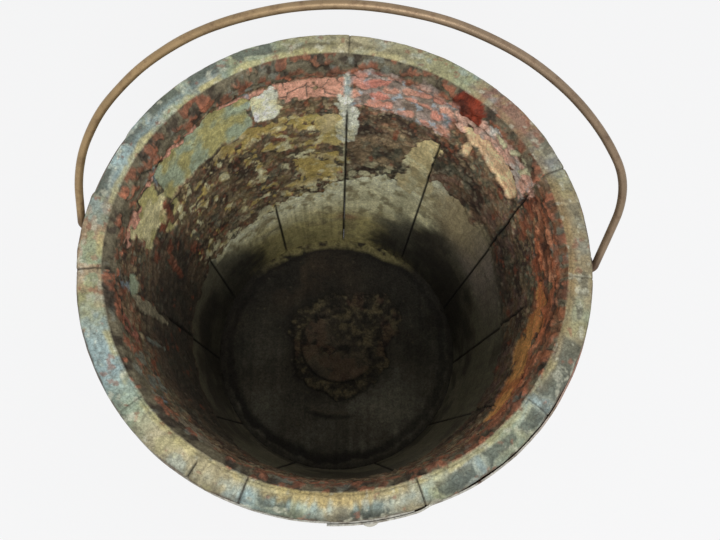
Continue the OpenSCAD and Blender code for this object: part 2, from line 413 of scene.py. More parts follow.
class Graph:
    """The nodes of a material or a world, added and linked one by one."""

    def __init__(self, name: str, world: bool = False) -> None:
        """Starts it empty.

        Args:
            name: The material's or world's name.
            world: Whether it is a world.
        """
        self.owner = (bpy.data.worlds if world else bpy.data.materials).new(name)
        self.owner.use_nodes = True
        self.tree = self.owner.node_tree
        self.tree.nodes.clear()

    def add(self, kind: str, sockets: Optional[dict[Union[int, str], Drive]] = None,
            **settings: Union[str, bool]) -> bpy.types.Node:
        """Adds a node.

        Args:
            kind: The node's type name without its ShaderNode start.
            sockets: Input name or number to a value, or to an output to link from.
            **settings: The node's own properties.

        Returns:
            The node.
        """
        node = self.tree.nodes.new("ShaderNode" + kind)
        for key, value in settings.items():
            setattr(node, key, value)
        for key, value in (sockets or {}).items():
            if isinstance(value, Socket):
                self.tree.links.new(value, node.inputs[key])
            else:
                node.inputs[key].default_value = value
        return node

    def coordinates(self) -> Socket:
        """Positions in the piece's own frame, in metres."""
        return self.add("TexCoord").outputs["Object"]

    def noise(self, size: float, detail: float = 4.0, rough: float = 0.6) -> Socket:
        """Noise with features about size millimetres across."""
        return self.add("TexNoise", {"Vector": self.coordinates(), "Scale": 1 / (size * MM),
                                     "Detail": detail, "Roughness": rough}).outputs["Fac"]

    def span(self, value: Socket, low: float, high: float,
             to_low: float = 0.0, to_high: float = 1.0) -> Socket:
        """A value's range low to high as to_low to to_high, clamped."""
        return self.add("MapRange", {"Value": value, "From Min": low, "From Max": high,
                                     "To Min": to_low, "To Max": to_high}).outputs[0]

    def mix(self, amount: Drive, under: Drive, over: Drive, blend: str = "MIX") -> Socket:
        """Lays one colour on another.

        Args:
            amount: How much of it, from 0 to 1.
            under: The colour below.
            over: The colour on top.
            blend: The way they mix.

        Returns:
            The colour that results.
        """
        colours = {key: value if isinstance(value, Socket) else (*map(float, value), 1.0)
                   for key, value in ((6, under), (7, over))}
        return self.add("Mix", {0: amount, **colours}, data_type="RGBA", blend_type=blend,
                        clamp_factor=True).outputs[2]

    def math(self, operation: str, a: Drive, b: Drive) -> Socket:
        """One sum on two numbers."""
        return self.add("Math", {0: a, 1: b}, operation=operation).outputs[0]

    def bump(self, height: Socket, depth: float, strength: float = 1.0,
             before: Optional[Socket] = None) -> Socket:
        """Bends the normal as relief would.

        Args:
            height: The relief, from 0 to 1.
            depth: How deep it is, in millimetres.
            strength: How much of it shows.
            before: A normal that is already bent.

        Returns:
            The new normal.
        """
        sockets = {"Height": height, "Distance": depth * MM, "Strength": strength}
        if before is not None:
            sockets["Normal"] = before
        return self.add("Bump", sockets).outputs["Normal"]

    def finish(self, colour: Socket, roughness: Socket, normal: Socket,
               **even: float) -> bpy.types.Material:
        """Ends in one principled shader.

        Args:
            colour, roughness, normal: What drives them.
            **even: Values that are the same all over, set on the shader's own sockets,
                with _ for each space in a socket's name.

        Returns:
            The material.
        """
        shader = self.add("BsdfPrincipled", {"Base Color": colour, "Roughness": roughness,
                                             "Normal": normal})
        for key, value in even.items():
            shader.inputs[key.replace("_", " ")].default_value = value
        self.add("OutputMaterial", {"Surface": shader.outputs["BSDF"]})
        return self.owner


@dataclass(frozen=True)
class PaintedSkin:
    """Old paint, wood or dirt whose colour the mesh carries, with its own fine break-up.

    grain is the size of its finest marks and chip that of its hair cracks, in millimetres.
    contrast is how far the marks lighten and darken it, relief how deep they are, in
    millimetres, and lumps how strongly its broader lumps show.
    """

    name: str
    grain: float = 1.3
    chip: float = 2.4
    contrast: float = 0.26
    relief: float = 0.3
    lumps: float = 0.8
    specular: float = 0.35

    def build(self) -> bpy.types.Material:
        """Makes the finish.

        Returns:
            The material.
        """
        g = Graph(self.name)
        base = g.add("Attribute", attribute_name="tone").outputs["Color"]
        gloss = g.add("Attribute", attribute_name="gloss").outputs["Fac"]
        fine = g.noise(self.grain, 6.0, 0.7)
        broad = g.noise(self.grain * 7, 3.0)
        lumpy = g.noise(self.grain * 2.6, 5.0, 0.65)
        shades = g.span(fine, 0.3, 0.7, 1 - self.contrast, 1 + self.contrast)
        shades = g.math("MULTIPLY", shades, g.span(broad, 0.3, 0.7, 0.84, 1.16))
        shades = g.math("MULTIPLY", shades, g.span(lumpy, 0.36, 0.64, 0.82, 1.16))
        grey = g.add("CombineColor", dict.fromkeys(range(3), shades)).outputs[0]
        colour = g.mix(1.0, base, grey, "MULTIPLY")
        chips = g.add("TexVoronoi", {"Vector": g.coordinates(), "Scale": 1 / (self.chip * MM)},
                      feature="DISTANCE_TO_EDGE").outputs["Distance"]
        whole = g.span(chips, 0.0, 0.12)
        colour = g.mix(g.span(whole, 0.0, 1.0, 0.18, 0.0), colour, Tone.FINE_CRACK)
        rough = g.math("SUBTRACT", g.span(fine, 0.3, 0.7, 0.92, 0.72), gloss)
        height = g.math("ADD", fine, g.math("MULTIPLY", whole, 0.45))
        normal = g.bump(lumpy, self.relief * 3.2, self.lumps)
        return g.finish(colour, rough, g.bump(height, self.relief, 1.0, normal),
                        Specular_IOR_Level=self.specular)


@dataclass(frozen=True)
class ForgedIron:
    """Old iron: brown rust with darker pits, and paint left in patches.

    rust, dark and paint are colours as they show on a screen, and paint_left is the share
    of the surface that still has its paint.
    """

    name: str
    rust: tuple[float, float, float] = (92, 64, 46)
    dark: tuple[float, float, float] = (48, 40, 35)
    paint: tuple[float, float, float] = (168, 158, 138)
    paint_left: float = 0.42
    metallic: float = 0.25

    def build(self) -> bpy.types.Material:
        """Makes the finish.

        Returns:
            The material.
        """
        g = Graph(self.name)
        fine = g.noise(0.8, 7.0, 0.72)
        blotch = g.noise(6.0, 5.0, 0.65)
        film = g.noise(9.0, 6.0, 0.7)
        colour = g.mix(g.span(blotch, 0.35, 0.65), tone(*self.dark), tone(*self.rust))
        colour = g.mix(g.span(fine, 0.45, 0.75, 0.0, 0.6), colour, Tone.BRIGHT_RUST)
        left = g.span(film, 1 - self.paint_left - 0.06, 1 - self.paint_left + 0.02)
        colour = g.mix(left, colour, tone(*self.paint))
        rough = g.span(fine, 0.3, 0.7, 0.78, 0.52)
        normal = g.bump(fine, 0.22)
        normal = g.bump(g.math("ADD", left, blotch), 0.30, 0.8, normal)
        return g.finish(colour, rough, normal, Metallic=self.metallic)


# --------------------------------------------------------------------------- sizes

@dataclass(frozen=True)
class BucketSizes:
    """What the wooden body and its hoops measure.

    seam_top and seam_foot are how wide the gaps between the staves are at their ends, groove
    is how deep the board's groove is, and seat the clearance round the board and under the
    iron. The hoops' heights are those of their lower edges, and seams are angles.
    """

    rim_r: float = 145.0
    foot_r: float = 117.0
    height: float = 283.0
    stave_t: float = 13.8
    seam_top: float = 0.2
    seam_foot: float = 1.0
    rim_round: float = 3.0
    rim_bevel: float = 1.5
    board_low: float = 11.0
    board_high: float = 25.0
    groove: float = 4.0
    seat: float = 0.1
    hoop_w: float = 20.0
    hoop_t: float = 1.2
    top_hoop_z: float = 257.0
    bottom_hoop_z: float = 22.0
    seams: tuple[float, ...] = (26, 60, 92, 122, 158, 190, 224, 255, 293, 325, 358)

    def wall_out(self, z: Array) -> Array:
        """The wood's outer radius at a height."""
        return self.foot_r + (self.rim_r - self.foot_r) / self.height * z

    def wall_in(self, z: Array) -> Array:
        """The wood's inner radius at a height."""
        return self.wall_out(z) - self.stave_t

    @property
    def groove_r(self) -> float:
        """Radius of the groove's bottom."""
        return self.wall_in((self.board_low + self.board_high) / 2) + self.groove


SIZES = BucketSizes()
# the radius at which distances round the wall are taken for its patterns
WALL_ARC_R = 120.0


class Zone(Enum):
    """The stretches of a stave's section."""

    OUTSIDE = 0
    EDGE = 1
    RIM = 2
    INSIDE = 3
    GROOVE = 4
    FOOT = 5


@dataclass(frozen=True)
class Patch:
    """One patch of another paint layer, bare wood or a run of paint.

    It is centred on an angle, reaches from top to low millimetres below the rim, and is
    wide_top and wide_low degrees across at its ends. ragged is how far its outline wanders,
    relief how thick it is, cells the share of the plates that take part, and bare is true
    where the crust has come off down to it. strength is how well it covers, and second a
    colour that it runs into in places.
    """

    name: str
    at: float
    wide_top: float
    wide_low: float
    top: float
    low: float
    colour: Array
    ragged: float = 3.0
    relief: float = 0.0
    cells: float = 1.0
    bare: bool = False
    strength: float = 1.0
    second: Optional[Array] = None

    def cover(self, skin: "Spot", seed: int) -> Array:
        """How much of the patch lies on each point, from 0 to 1.

        Args:
            skin: The points.
            seed: Chooses this patch's own outline.

        Returns:
            One number a point.
        """
        across = np.abs(bearing(skin.angle, self.at))
        t = np.clip((skin.depth - self.top) / max(self.low - self.top, 1e-6), 0, 1)
        half = (self.wide_top + (self.wide_low - self.wide_top) * t) / 2 * skin.mm_a_degree
        corner = np.minimum(np.minimum(half, (self.low - self.top) / 2), 7.0)
        side = across * skin.mm_a_degree - half + corner
        end = np.maximum(self.top - skin.depth, skin.depth - self.low) + corner
        out = np.hypot(np.maximum(side, 0), np.maximum(end, 0)) - corner
        out = out + np.minimum(np.maximum(side, end), 0)
        wander = skin.noise(9.0, seed, 5) * self.ragged * 1.7
        inside = ramp(0.45, -0.45, out + wander)
        if self.cells < 1:
            inside = inside * (skin.plates.key > 1 - self.cells)
        return inside * self.strength


@dataclass(frozen=True)
class Spot:
    """Points on the wood: their place, angle, depth under the rim and the paint's plates.

    mm_a_degree is the way round the wall that a degree makes. seam is the distance from the
    nearest seam, opened is 1 where that seam is an open crack, and shown how plainly it
    shows on the rim.
    """

    x: Array
    y: Array
    z: Array
    angle: Array
    depth: Array
    mm_a_degree: Array
    plates: Cells
    seam: Array
    opened: Array
    shown: Array

    @property
    def side(self) -> Array:
        """The angle as degrees from +X, from -180 to 180."""
        return bearing(self.angle, 0)

    @property
    def arc(self) -> Array:
        """Millimetres round the wall."""
        return np.radians(self.angle) * WALL_ARC_R

    def near(self, at: float, wide: float) -> Array:
        """1 at an angle, fading over about wide degrees to either side of it."""
        return hump(bearing(self.angle, at), 0, wide)

    def window(self, low: float, high: float, top: float, foot: float,
               soft: float) -> Array:
        """1 inside a stretch of the wall.

        Args:
            low, high: The angles it lies between.
            top, foot: The depths it lies between.
            soft: Over how many millimetres it fades, either side of its edge.

        Returns:
            A number a point, 0 outside.
        """
        ends = np.maximum((low - self.angle) * self.mm_a_degree,
                          (self.angle - high) * self.mm_a_degree)
        out = np.maximum(ends, np.maximum(top - self.depth, self.depth - foot))
        return ramp(soft, -soft, out)

    def noise(self, size: float, seed: int, octaves: int = 3, xy: float = 1.0,
              z: float = 1.0) -> Array:
        """Layered noise at the points. xy and z under 1 draw its features out."""
        return fbm(self.x * xy, self.y * xy, self.z * z, size, seed, octaves)

    def rows(self, chosen: Array) -> "Spot":
        """The same facts about some of the rows.

        Args:
            chosen: True for each row to keep.

        Returns:
            The points of those rows.
        """
        def pick(facts: Union["Spot", Cells]) -> list:
            """Each field's chosen rows, a Cells field's too."""
            values = (getattr(facts, f.name) for f in fields(facts))
            return [Cells(*pick(v)) if isinstance(v, Cells) else v[chosen] for v in values]

        return Spot(*pick(self))


# --------------------------------------------------------------------------- staves

# how far below the rim the crust of paint reaches: (angle, millimetres)
CRUST_LOW = ((-68, 84), (-42, 102), (-26, 108), (-6, 112), (8, 124), (20, 116), (30, 108),
             (58, 108), (64, 130), (76, 134), (88, 144), (96, 158), (122, 171), (162, 170),
             (206, 170), (218, 152), (232, 132), (250, 96), (262, 84), (292, 84))

# the paint on the rim: (angle, colour)
RIM_TONES = ((0, Tone.DULL_TAN), (18, Tone.DULL_TAN), (25, Tone.RIM_GREEN),
             (29, Tone.BLUE_GREY), (35, Tone.GREY), (39, Tone.RIM_RED), (52, Tone.RIM_RED),
             (57, Tone.SAGE), (64, Tone.RIM_GREEN), (92, Tone.TAN), (106, Tone.RIM_GREEN),
             (114, Tone.SAGE), (124, Tone.SAGE), (130, Tone.BLUE_GREY), (142, Tone.SAGE),
             (148, Tone.GREY), (158, Tone.PALE_BLUE), (166, Tone.PALE_BLUE),
             (172, Tone.GREY), (180, Tone.RIM_GREEN), (188, Tone.SAGE),
             (196, Tone.RIM_GREEN), (206, Tone.PALE_BLUE), (216, Tone.PALE_BLUE),
             (226, Tone.SAGE), (233, Tone.TAN), (252, Tone.TAN), (256, Tone.PALE_BLUE),
             (266, Tone.SAGE), (274, Tone.TAN), (280, Tone.GREY), (286, Tone.TAN),
             (292, Tone.TAN), (296, Tone.SAGE), (304, Tone.BLUE_GREY), (314, Tone.SAGE),
             (324, Tone.PALE_BLUE), (329, Tone.GREY), (338, Tone.GREY), (342, Tone.DULL_TAN),
             (350, Tone.SAGE), (354, Tone.DULL_TAN), (360, Tone.DULL_TAN))


def rim_paint(angle: Array) -> Array:
    """The rim's paint, each colour of RIM_TONES running into the next.

    Args:
        angle: Where, in degrees.

    Returns:
        A colour a point.
    """
    stops, tones = zip(*RIM_TONES)
    return np.stack([np.interp(angle % 360, stops, [t[c] for t in tones])
                     for c in range(3)], -1)


# darker grey scabs on the rim: (angle, degrees wide, share across the rim, its width)
RIM_SCABS = ((14, 4, 0.60, 0.34), (356, 5, 0.60, 0.30), (349, 4, 0.50, 0.30),
             (335, 14, 0.54, 0.74), (321, 5, 0.62, 0.40), (313, 8, 0.50, 0.50),
             (301, 9, 0.62, 0.50), (282, 8, 0.66, 0.55), (262, 6, 0.50, 0.45),
             (117, 9, 0.62, 0.50), (131, 8, 0.66, 0.50), (143, 9, 0.62, 0.60),
             (154, 6, 0.50, 0.50), (168, 8, 0.70, 0.45), (33, 5, 0.60, 0.60))

WALL_PATCHES = (
    Patch("salmon_left", 170, 24, 14, 23, 35, Tone.SALMON, 2.4, 0.2, 0.7),
    Patch("salmon_strip", 136, 44, 44, 21, 26, Tone.SALMON, 1.8, 0.2, 0.8),
    Patch("grey_ground", 75, 34, 30, 11, 52, tone(192, 174, 162), 4.5, 0.1, strength=0.88,
          second=tone(144, 130, 116)),
    Patch("red_top", -11, 70, 58, 12, 38, Tone.RUST, 4.5, 0.3, 0.72, strength=0.9,
          second=tone(206, 146, 110)),
    Patch("pink_round_bare", 41, 34, 30, 11, 36, tone(222, 178, 156), 4.0, 0.2, 0.85,
          second=tone(204, 200, 188)),
    Patch("ochre_under_film", 124, 26, 30, 57, 70, Tone.OCHRE, 5.0, -0.2, 0.8, bare=True,
          second=Tone.SAND, strength=0.8),
    Patch("ochre_step", 106, 12, 8, 60, 76, Tone.OCHRE, 4.5, -0.2, 0.85, bare=True,
          second=Tone.OLIVE),
    Patch("olive_film", 141, 37, 35, 24, 57, Tone.OLIVE, 3.0, -0.3, bare=True,
          second=Tone.SAGE),
    Patch("cream_left", 168, 16, 13, 28, 63, tone(214, 206, 158), 6.0, -0.3, bare=True,
          second=Tone.OLIVE),
    Patch("cream_low_left", 160, 12, 8, 60, 82, Tone.OLIVE, 5.0, -0.2, 0.6, bare=True,
          second=Tone.SAND),
    Patch("white_patch", 117.5, 10, 9, 25, 54, Tone.WHITE, 2.2, 0.2, bare=True,
          second=Tone.CREAM),
    Patch("cream_far_left", 188, 7, 6, 39, 52, Tone.SAGE, 2.5, -0.2, bare=True),
    Patch("drip_far_left", 192.4, 3.4, 2.4, 44, 108, tone(156, 148, 122), 2.0, 0.7),
    Patch("drip_beside_it", 203, 2.2, 1.4, 58, 92, tone(126, 132, 120), 2.6, 0.5, 0.8),
    Patch("pink_far_left", 203, 6, 5, 22, 41, tone(158, 104, 86), 3.4, 0.3, 0.8),
    Patch("film_far_left", 212, 8, 6, 22, 38, tone(126, 132, 118), 4.0, 0.2, strength=0.75),
    Patch("film_run_left", 218, 5, 3, 22, 52, tone(122, 124, 112), 3.4, 0.2, 0.75),
    Patch("film_front_left", 236, 13, 9, 22, 48, tone(136, 126, 106), 5.0, 0.2, 0.7),
    Patch("ochre_by_drip", 97.5, 6, 9, 61, 94, tone(204, 186, 120), 4.5, -0.2, bare=True,
          second=Tone.SAND),
    Patch("ochre_ribs", 103, 13, 17, 106, 144, Tone.OCHRE, 5.5, -0.2, 0.86, bare=True,
          second=Tone.SAND, strength=0.9),
    Patch("ochre_foot", 110, 15, 18, 138, 158, Tone.SAND, 6.0, -0.2, 0.7, bare=True,
          second=Tone.OCHRE, strength=0.6),
    Patch("drip_head", 92.4, 2.4, 5.4, 15, 50, Tone.WHITE, 2.0, 0.7),
    Patch("drip_body", 92.0, 6.0, 6.8, 46, 94, Tone.WHITE, 3.0, 0.6,
          second=Tone.CREAM, strength=0.9),
    Patch("drip_tail", 92.4, 0.9, 1.0, 92, 158, Tone.CREAM, 0.7, 0.3, strength=0.85),
    Patch("bare_head", 48, 11, 10, 26, 43, Tone.BARE, 3.0, -1.5, bare=True,
          second=tone(232, 206, 170)),
    Patch("bare_middle", 40, 13, 11, 29, 47, Tone.BARE, 3.6, -1.6, bare=True,
          second=tone(232, 206, 170)),
    Patch("bare_tail", 34, 8, 6, 33, 50, Tone.BARE, 3.0, -1.5, bare=True),
    Patch("bare_run", 51, 3, 1.6, 40, 54, Tone.BARE, 1.6, -1.2, bare=True),
    Patch("tan_tip", 63, 6, 7, 64, 79, Tone.SAND, 3.6, -1.0, bare=True),
    Patch("tan_body", 65.5, 9, 11, 76, 102, Tone.SAND, 4.2, -1.0, bare=True,
          second=Tone.CREAM),
    Patch("tan_neck", 64.3, 8.5, 12, 98, 142, Tone.SAND, 5.0, -0.9, bare=True,
          second=Tone.CREAM, strength=0.75),
    Patch("orange_patch", -20, 42, 26, 37, 62, Tone.ORANGE, 7.0, -0.3, bare=True,
          second=tone(188, 120, 72), strength=0.9),
    Patch("orange_lobe", -15, 12, 6, 58, 76, Tone.ORANGE, 4.0, -0.3, bare=True,
          strength=0.75),
    Patch("red_blob", 54.5, 12, 9, 2, 20, tone(146, 60, 36), 2.6, 0.9,
          second=tone(96, 46, 32)),
    Patch("cream_edge", 36, 20, 12, 9, 17, Tone.CREAM, 2.5, 0.2, 0.45),
)

# from how far below the rim each seam shows as an open crack: above it, paint bridges it
SEAM_OPENS = (24, 60, 58, 166, 158, 112, 138, 96, 66, 58, 64)
# how plainly each seam shows on the rim
SEAM_ON_RIM = (0.75, 0.2, 0.55, 0.1, 0.12, 0.7, 0.35, 0.85, 0.9, 0.5, 0.4)


@dataclass
class Staves:
    """The eleven staves, each a solid whose inside carries the crust of paint.

    fine, rim_step and coarse are how far apart the points of a section are on the inside, on
    the rim and outside. The crust's plates are plate_mm across and plate_warp uneven, and
    band_depth is how far below the rim its lumpy band reaches. rim_arc_r and outer_arc_r are
    the radii at which distances round the rim and the outside are taken for their patterns.
    under_iron lists the heights between which hoops and ears lie on the wood.
    """

    sizes: BucketSizes = SIZES
    fine: float = 0.95
    rim_step: float = 0.6
    coarse: float = 3.5
    edge_points: int = 7
    plate_mm: float = 4.8
    plate_warp: float = 2.2
    band_depth: float = 17.0
    rim_arc_r: float = 140.0
    outer_arc_r: float = 130.0
    under_iron: tuple[tuple[float, float], ...] = ((20, 44), (219, 280))
    finish: PaintedSkin = field(default_factory=lambda: PaintedSkin(
        "painted_stave_skin", contrast=0.34))

    def section(self) -> tuple[Array, Array, Array]:
        """Points round a stave's section, anticlockwise from the foot's outer corner.

        Returns:
            Radii, heights, and the zone of each point as the number of its Zone.
        """
        s = self.sizes
        points: list[tuple[float, float, int]] = []

        def run(start: tuple, end: tuple, step: float, zone: Zone) -> None:
            """Adds points from start up to end, not counting end.

            Args:
                start, end: Radius and height of each end.
                step: About how far apart the points are.
                zone: The stretch they belong to.
            """
            n = max(1, round(math.dist(start, end) / step))
            for k in range(n):
                points.append((start[0] + (end[0] - start[0]) * k / n,
                               start[1] + (end[1] - start[1]) * k / n, zone.value))

        top = s.height
        shoulder = top - s.rim_round
        arc_r = s.wall_out(shoulder) - s.rim_round
        run((s.wall_out(0), 0), (s.wall_out(shoulder), shoulder), self.coarse, Zone.OUTSIDE)
        for k in range(self.edge_points):
            a = math.radians(90 * k / self.edge_points)
            points.append((arc_r + s.rim_round * math.cos(a),
                           shoulder + s.rim_round * math.sin(a), Zone.EDGE.value))
        # the rest, from the rim down the inside: where each stretch ends, and its step
        start = (arc_r, top)
        for end, step, zone in (
                ((s.wall_in(top) + s.rim_bevel, top), self.rim_step, Zone.RIM),
                ((s.wall_in(top - s.rim_bevel), top - s.rim_bevel), self.rim_step, Zone.RIM),
                ((s.wall_in(s.board_high), s.board_high), self.fine, Zone.INSIDE),
                ((s.groove_r, s.board_high), 1.4, Zone.GROOVE),
                ((s.groove_r, s.board_low), 3.5, Zone.GROOVE),
                ((s.wall_in(s.board_low), s.board_low), 2.0, Zone.GROOVE),
                ((s.wall_in(s.rim_bevel), s.rim_bevel), 3.0, Zone.FOOT),
                ((s.wall_in(0) + s.rim_bevel, 0), 1.2, Zone.FOOT),
                ((s.wall_out(0), 0), 2.2, Zone.FOOT)):
            run(start, end, step, zone)
            start = end
        r, z, zones = (np.array(c, float) for c in zip(*points))
        return r, z, zones

    def spot(self, r: Array, z: Array, angle: Array, seam: Array, opened: Array,
             shown: Array) -> Spot:
        """The facts about a grid of points that the finishes need.

        Args:
            r, z, angle: Where the points are.
            seam, opened, shown: Their distance from a seam and that seam's state.

        Returns:
            The points.
        """
        a = np.radians(angle)
        x, y = r * np.cos(a), r * np.sin(a)
        depth = self.sizes.height - z
        u = a * WALL_ARC_R + self.plate_warp * fbm(x, y, z, 7.0, 11, 3)
        v = depth + self.plate_warp * fbm(x, y, z, 7.0, 12, 3)
        plates = Cells.over(u / self.plate_mm, v / self.plate_mm, 31)
        return Spot(x, y, z, angle, depth, np.radians(1) * r, plates, seam, opened, shown)

    def crust_edge(self, s: Spot) -> Array:
        """How far below the rim the crust reaches, with its ragged edge.

        Args:
            s: The points.

        Returns:
            Millimetres, one number a point.
        """
        at, low = zip(*CRUST_LOW)
        limit = np.interp((s.angle - at[0]) % 360 + at[0], at, low)
        return limit + 9 * s.noise(26, 41, 5) + 6.5 * s.noise(8, 42, 5, z=0.8)

    def wood(self, s: Spot, below: Array, grain: Array) -> Array:
        """The thinly stained wood that shows where there is no crust.

        Args:
            s: The points.
            below: How far each lies below the crust's edge.
            grain: The wood's grain, about -1 to 1.

        Returns:
            A colour a point.
        """
        broad, cloud = s.noise(38, 47, 4), s.noise(15, 48, 5, z=1.6)
        mottle = s.noise(5.5, 62, 4, z=0.8)
        face = Face.plain(Tone.THIN_STAIN, s.x)
        face.lay(Tone.DAMP_STAIN, ramp(-0.25, 0.5, broad))

        # a light paint has run down the back: cream under the crust, thin by the board
        sink = ramp(156, 222, s.depth)
        edge_at = s.angle + 7 * cloud
        reach = ramp(44, 62, edge_at - 25 * sink) * ramp(166, 150, edge_at + 22 * sink)
        run = Face.plain(Tone.CREAM, s.x)
        run.lay(Tone.BAND, ramp(178, 222, s.depth + 14 * cloud))
        run.lay(Tone.RUBBED_CREAM, 0.7 * ramp(0.05, 0.5, -mottle))
        run.shade(0.94 + 0.22 * mottle + 0.10 * cloud)
        face.lay(run.colour, reach * (0.94 + 0.30 * cloud))
        left_over = ramp(0.30, 0.42, s.noise(7, 89, 5)) * reach
        face.lay(Tone.CRUST_CRUMB, 0.75 * left_over * ramp(30, 4, below))
        face.lay(Tone.FOOT_OLIVE, 0.5 * reach * ramp(200, 222, s.depth)
                 * ramp(-0.3, 0.3, broad))

        # painted shade with some stain in the corners by that run, dusty low down to the front
        off_back = np.abs(bearing(s.angle, 104))
        corner = ramp(190, 220, s.depth) * (1 - reach) * ramp(118, 84, off_back)
        face.shade(1 - 0.50 * corner)
        dusty = ramp(86, 124, off_back) * ramp(160, 236, s.depth)
        face.lay(Tone.DUST, 0.65 * dusty)

        # thin washes at the right and the front left, and stains
        violet = hump(s.side, 22, 15) * ramp(104, 124, s.depth) * ramp(184, 160, s.depth)
        face.lay(Tone.LAVENDER, 0.85 * violet * (0.8 + 0.5 * cloud))
        face.lay(Tone.SANDY_WASH, 0.85 * hump(s.side, 44, 14) * ramp(176, 140, s.depth))
        stain = ramp(0.1, 0.5, broad + 0.4 * cloud) * ramp(160, 200, s.depth)
        face.lay(Tone.DAMP, 0.55 * stain * (1 - reach))
        crumbs = ramp(9.0, 0.5, np.abs(below - 2.5)) * reach
        face.lay(Tone.WHITE, 0.6 * crumbs * ramp(-0.2, 0.3, mottle))
        # painted highlight: a pale band along the foot of the crust, where the run is
        thick = ramp(34, 4, below - 12 * cloud) * reach
        face.lay(Tone.PAINTED_HIGHLIGHT_CREAM, 0.55 * thick * ramp(-0.5, 0.2, mottle))
        film = hump(s.angle, 303, 17) * ramp(98, 124, s.depth)
        face.lay(Tone.DUST, 0.35 * film * ramp(206, 178, s.depth))
        face.lay(Tone.RED_SMEAR, 0.55 * hump(s.angle, 90, 5) * hump(s.depth, 209, 5))

        # fine upright ridges left by the plane, plainest near the middle of the back
        ribs = fbm(s.arc, s.z * 0.03, 0 * s.z, 1.9, 53, 2)
        combed = 0.15 + 0.85 * hump(s.angle, 106, 13)
        face.shade(1 + 0.14 * grain + 0.24 * combed * ribs)
        return face.colour

    def crust_colour(self, s: Spot, small: Cells, lumps: Cells, band: Array) -> Array:
        """The crust's own colour: browns that run into each other, with red among them.

        Args:
            s: The points.
            small: Grains within the plates.
            lumps: The larger lumps of the band under the rim.
            band: 1 in that band, 0 below it.

        Returns:
            A colour a point.
        """
        soft, cloud = s.noise(13, 54, 5), s.noise(9, 55, 5)
        fine, vein = s.noise(1.9, 97, 2), s.noise(8, 56, 5, z=0.7)
        side = s.side
        east = ramp(80, 40, np.abs(side))
        back = ramp(92, 104, s.angle) * ramp(176, 156, s.angle)
        face = Face.plain(Tone.UMBER, s.x)
        face.lay(Tone.BROWN, ramp(-0.2, 0.35, soft))
        face.lay(Tone.PURPLE, (0.3 + 0.6 * east) * ramp(0.0, 0.4, cloud))
        face.lay(Tone.CRUST_OLIVE, 0.65 * back * ramp(0.05, 0.4, cloud))
        by_drip = hump(s.angle, 78, 11) * ramp(56, 76, s.depth)
        face.lay(Tone.CRUST_TAN, 0.8 * by_drip * ramp(-0.35, 0.25, soft))
        face.lay(Tone.CRUST_WARM, 0.6 * hump(side, 42, 13) * ramp(-0.3, 0.2, cloud))
        face.lay(Tone.SLATE, 0.8 * ramp(0.12, 0.42, -cloud))
        face.lay(Tone.CRUST_BLACK, 0.8 * ramp(0.1, 0.5, -soft))
        face.lay(Tone.CRUST_GREY, 0.5 * (small.other > 0.82))

        # flecks, fewer further down but for the back
        fleck = s.noise(3.2, 96, 4)
        shallow = 1 - 0.9 * ramp(50, 84, s.depth) * (1 - 0.85 * back)
        face.lay(Tone.PALE_FLECK, 0.6 * shallow * ramp(0.20, 0.42, fleck))
        face.lay(Tone.RED_FLECK, 0.5 * shallow * ramp(0.24, 0.44, -fleck))
        face.shade(0.80 + 0.60 * s.plates.key + 0.35 * fine)

        # darker with depth, most of all at the left
        deep = ramp(52, 120, s.depth)
        front = ramp(60, 20, side) * ramp(-140, -110, side)
        face.shade(1 - deep * (0.08 + 0.30 * front))
        face.lay(shade(Tone.DEEP_CRUST, 0.5 + s.plates.key), 0.78 * deep
                 * ramp(150, 178, s.angle) * ramp(262, 236, s.angle))
        face.lay(Tone.DIM_CRUST, 0.45 * (hump(s.angle, 206, 34) * ramp(44, 66, s.depth)))

        # red veins, most of them at the left and right
        left = hump(s.angle, 166, 30) * ramp(40, 70, s.depth)
        right = hump(side, 14, 30) * ramp(130, 70, s.depth)
        share = 0.09 + 0.25 * left * ramp(140, 100, s.depth) + 0.34 * right
        red = ramp(0.62 - share, 0.74 - share, vein)
        face.lay(Tone.BRICK, 0.75 * red * (0.5 + 0.5 * s.plates.other))

        # the band: red-brown lumps bedded in grey-green and black
        speck = s.noise(3.2, 87, 3)
        bed = Face.plain(Tone.BED, s.x)
        bed.lay(Tone.BED_DARK, ramp(-0.2, 0.35, cloud + 0.5 * speck))
        bed.lay(Tone.BED_PALE, 0.5 * ramp(0.2, 0.5, soft - 0.3 * speck))
        body = Face.plain(Tone.LUMP, s.x)
        body.lay(Tone.LUMP_DARK, lumps.other)
        body.shade(1 + 0.5 * fine)
        body.shade(0.9 + 0.4 * vein + 0.35 * speck)
        reds = 0.42 + 0.30 * (hump(s.angle, 124, 34) + hump(side, 20, 34)
                              + hump(side, -60, 40))
        cover = (lumps.key < reds) * ramp(0.60, 0.40, lumps.near + 0.30 * speck)
        bed.lay(body.colour, 0.9 * cover)
        drawn = s.noise(5, 90, 3, xy=1.2, z=0.25)
        bed.lay(Tone.BED_RUST, 0.65 * hump(side, -8, 40) * ramp(-0.3, 0.3, drawn))
        face.lay(bed.colour, band)
        return face.colour

    def inside(self, s: Spot) -> tuple[Array, Array, Array]:
        """The inner wall: wood, then the crust, then the patches where it differs.

        Args:
            s: The points.

        Returns:
            How far the surface stands proud, its colour, and its gloss.
        """
        below = s.depth - self.crust_edge(s)
        crust = ramp(0.7, -0.7, below)
        warp, curl = s.noise(6, 57, 3), s.noise(2.8, 95, 3)
        grain = s.noise(6, 49, 4, xy=2.4, z=0.22)
        small = Cells.over(s.arc / 2.4 + 0.5 * warp, s.depth / 2.4, 51)
        lumps = Cells.over(s.arc / 7.0 + 0.5 * warp + 0.22 * curl,
                           s.depth / 4.4 + 0.45 * warp - 0.30 * curl, 58)
        big, grit = lumps.dome(0.72), ramp(0.0, 0.3, small.gap)

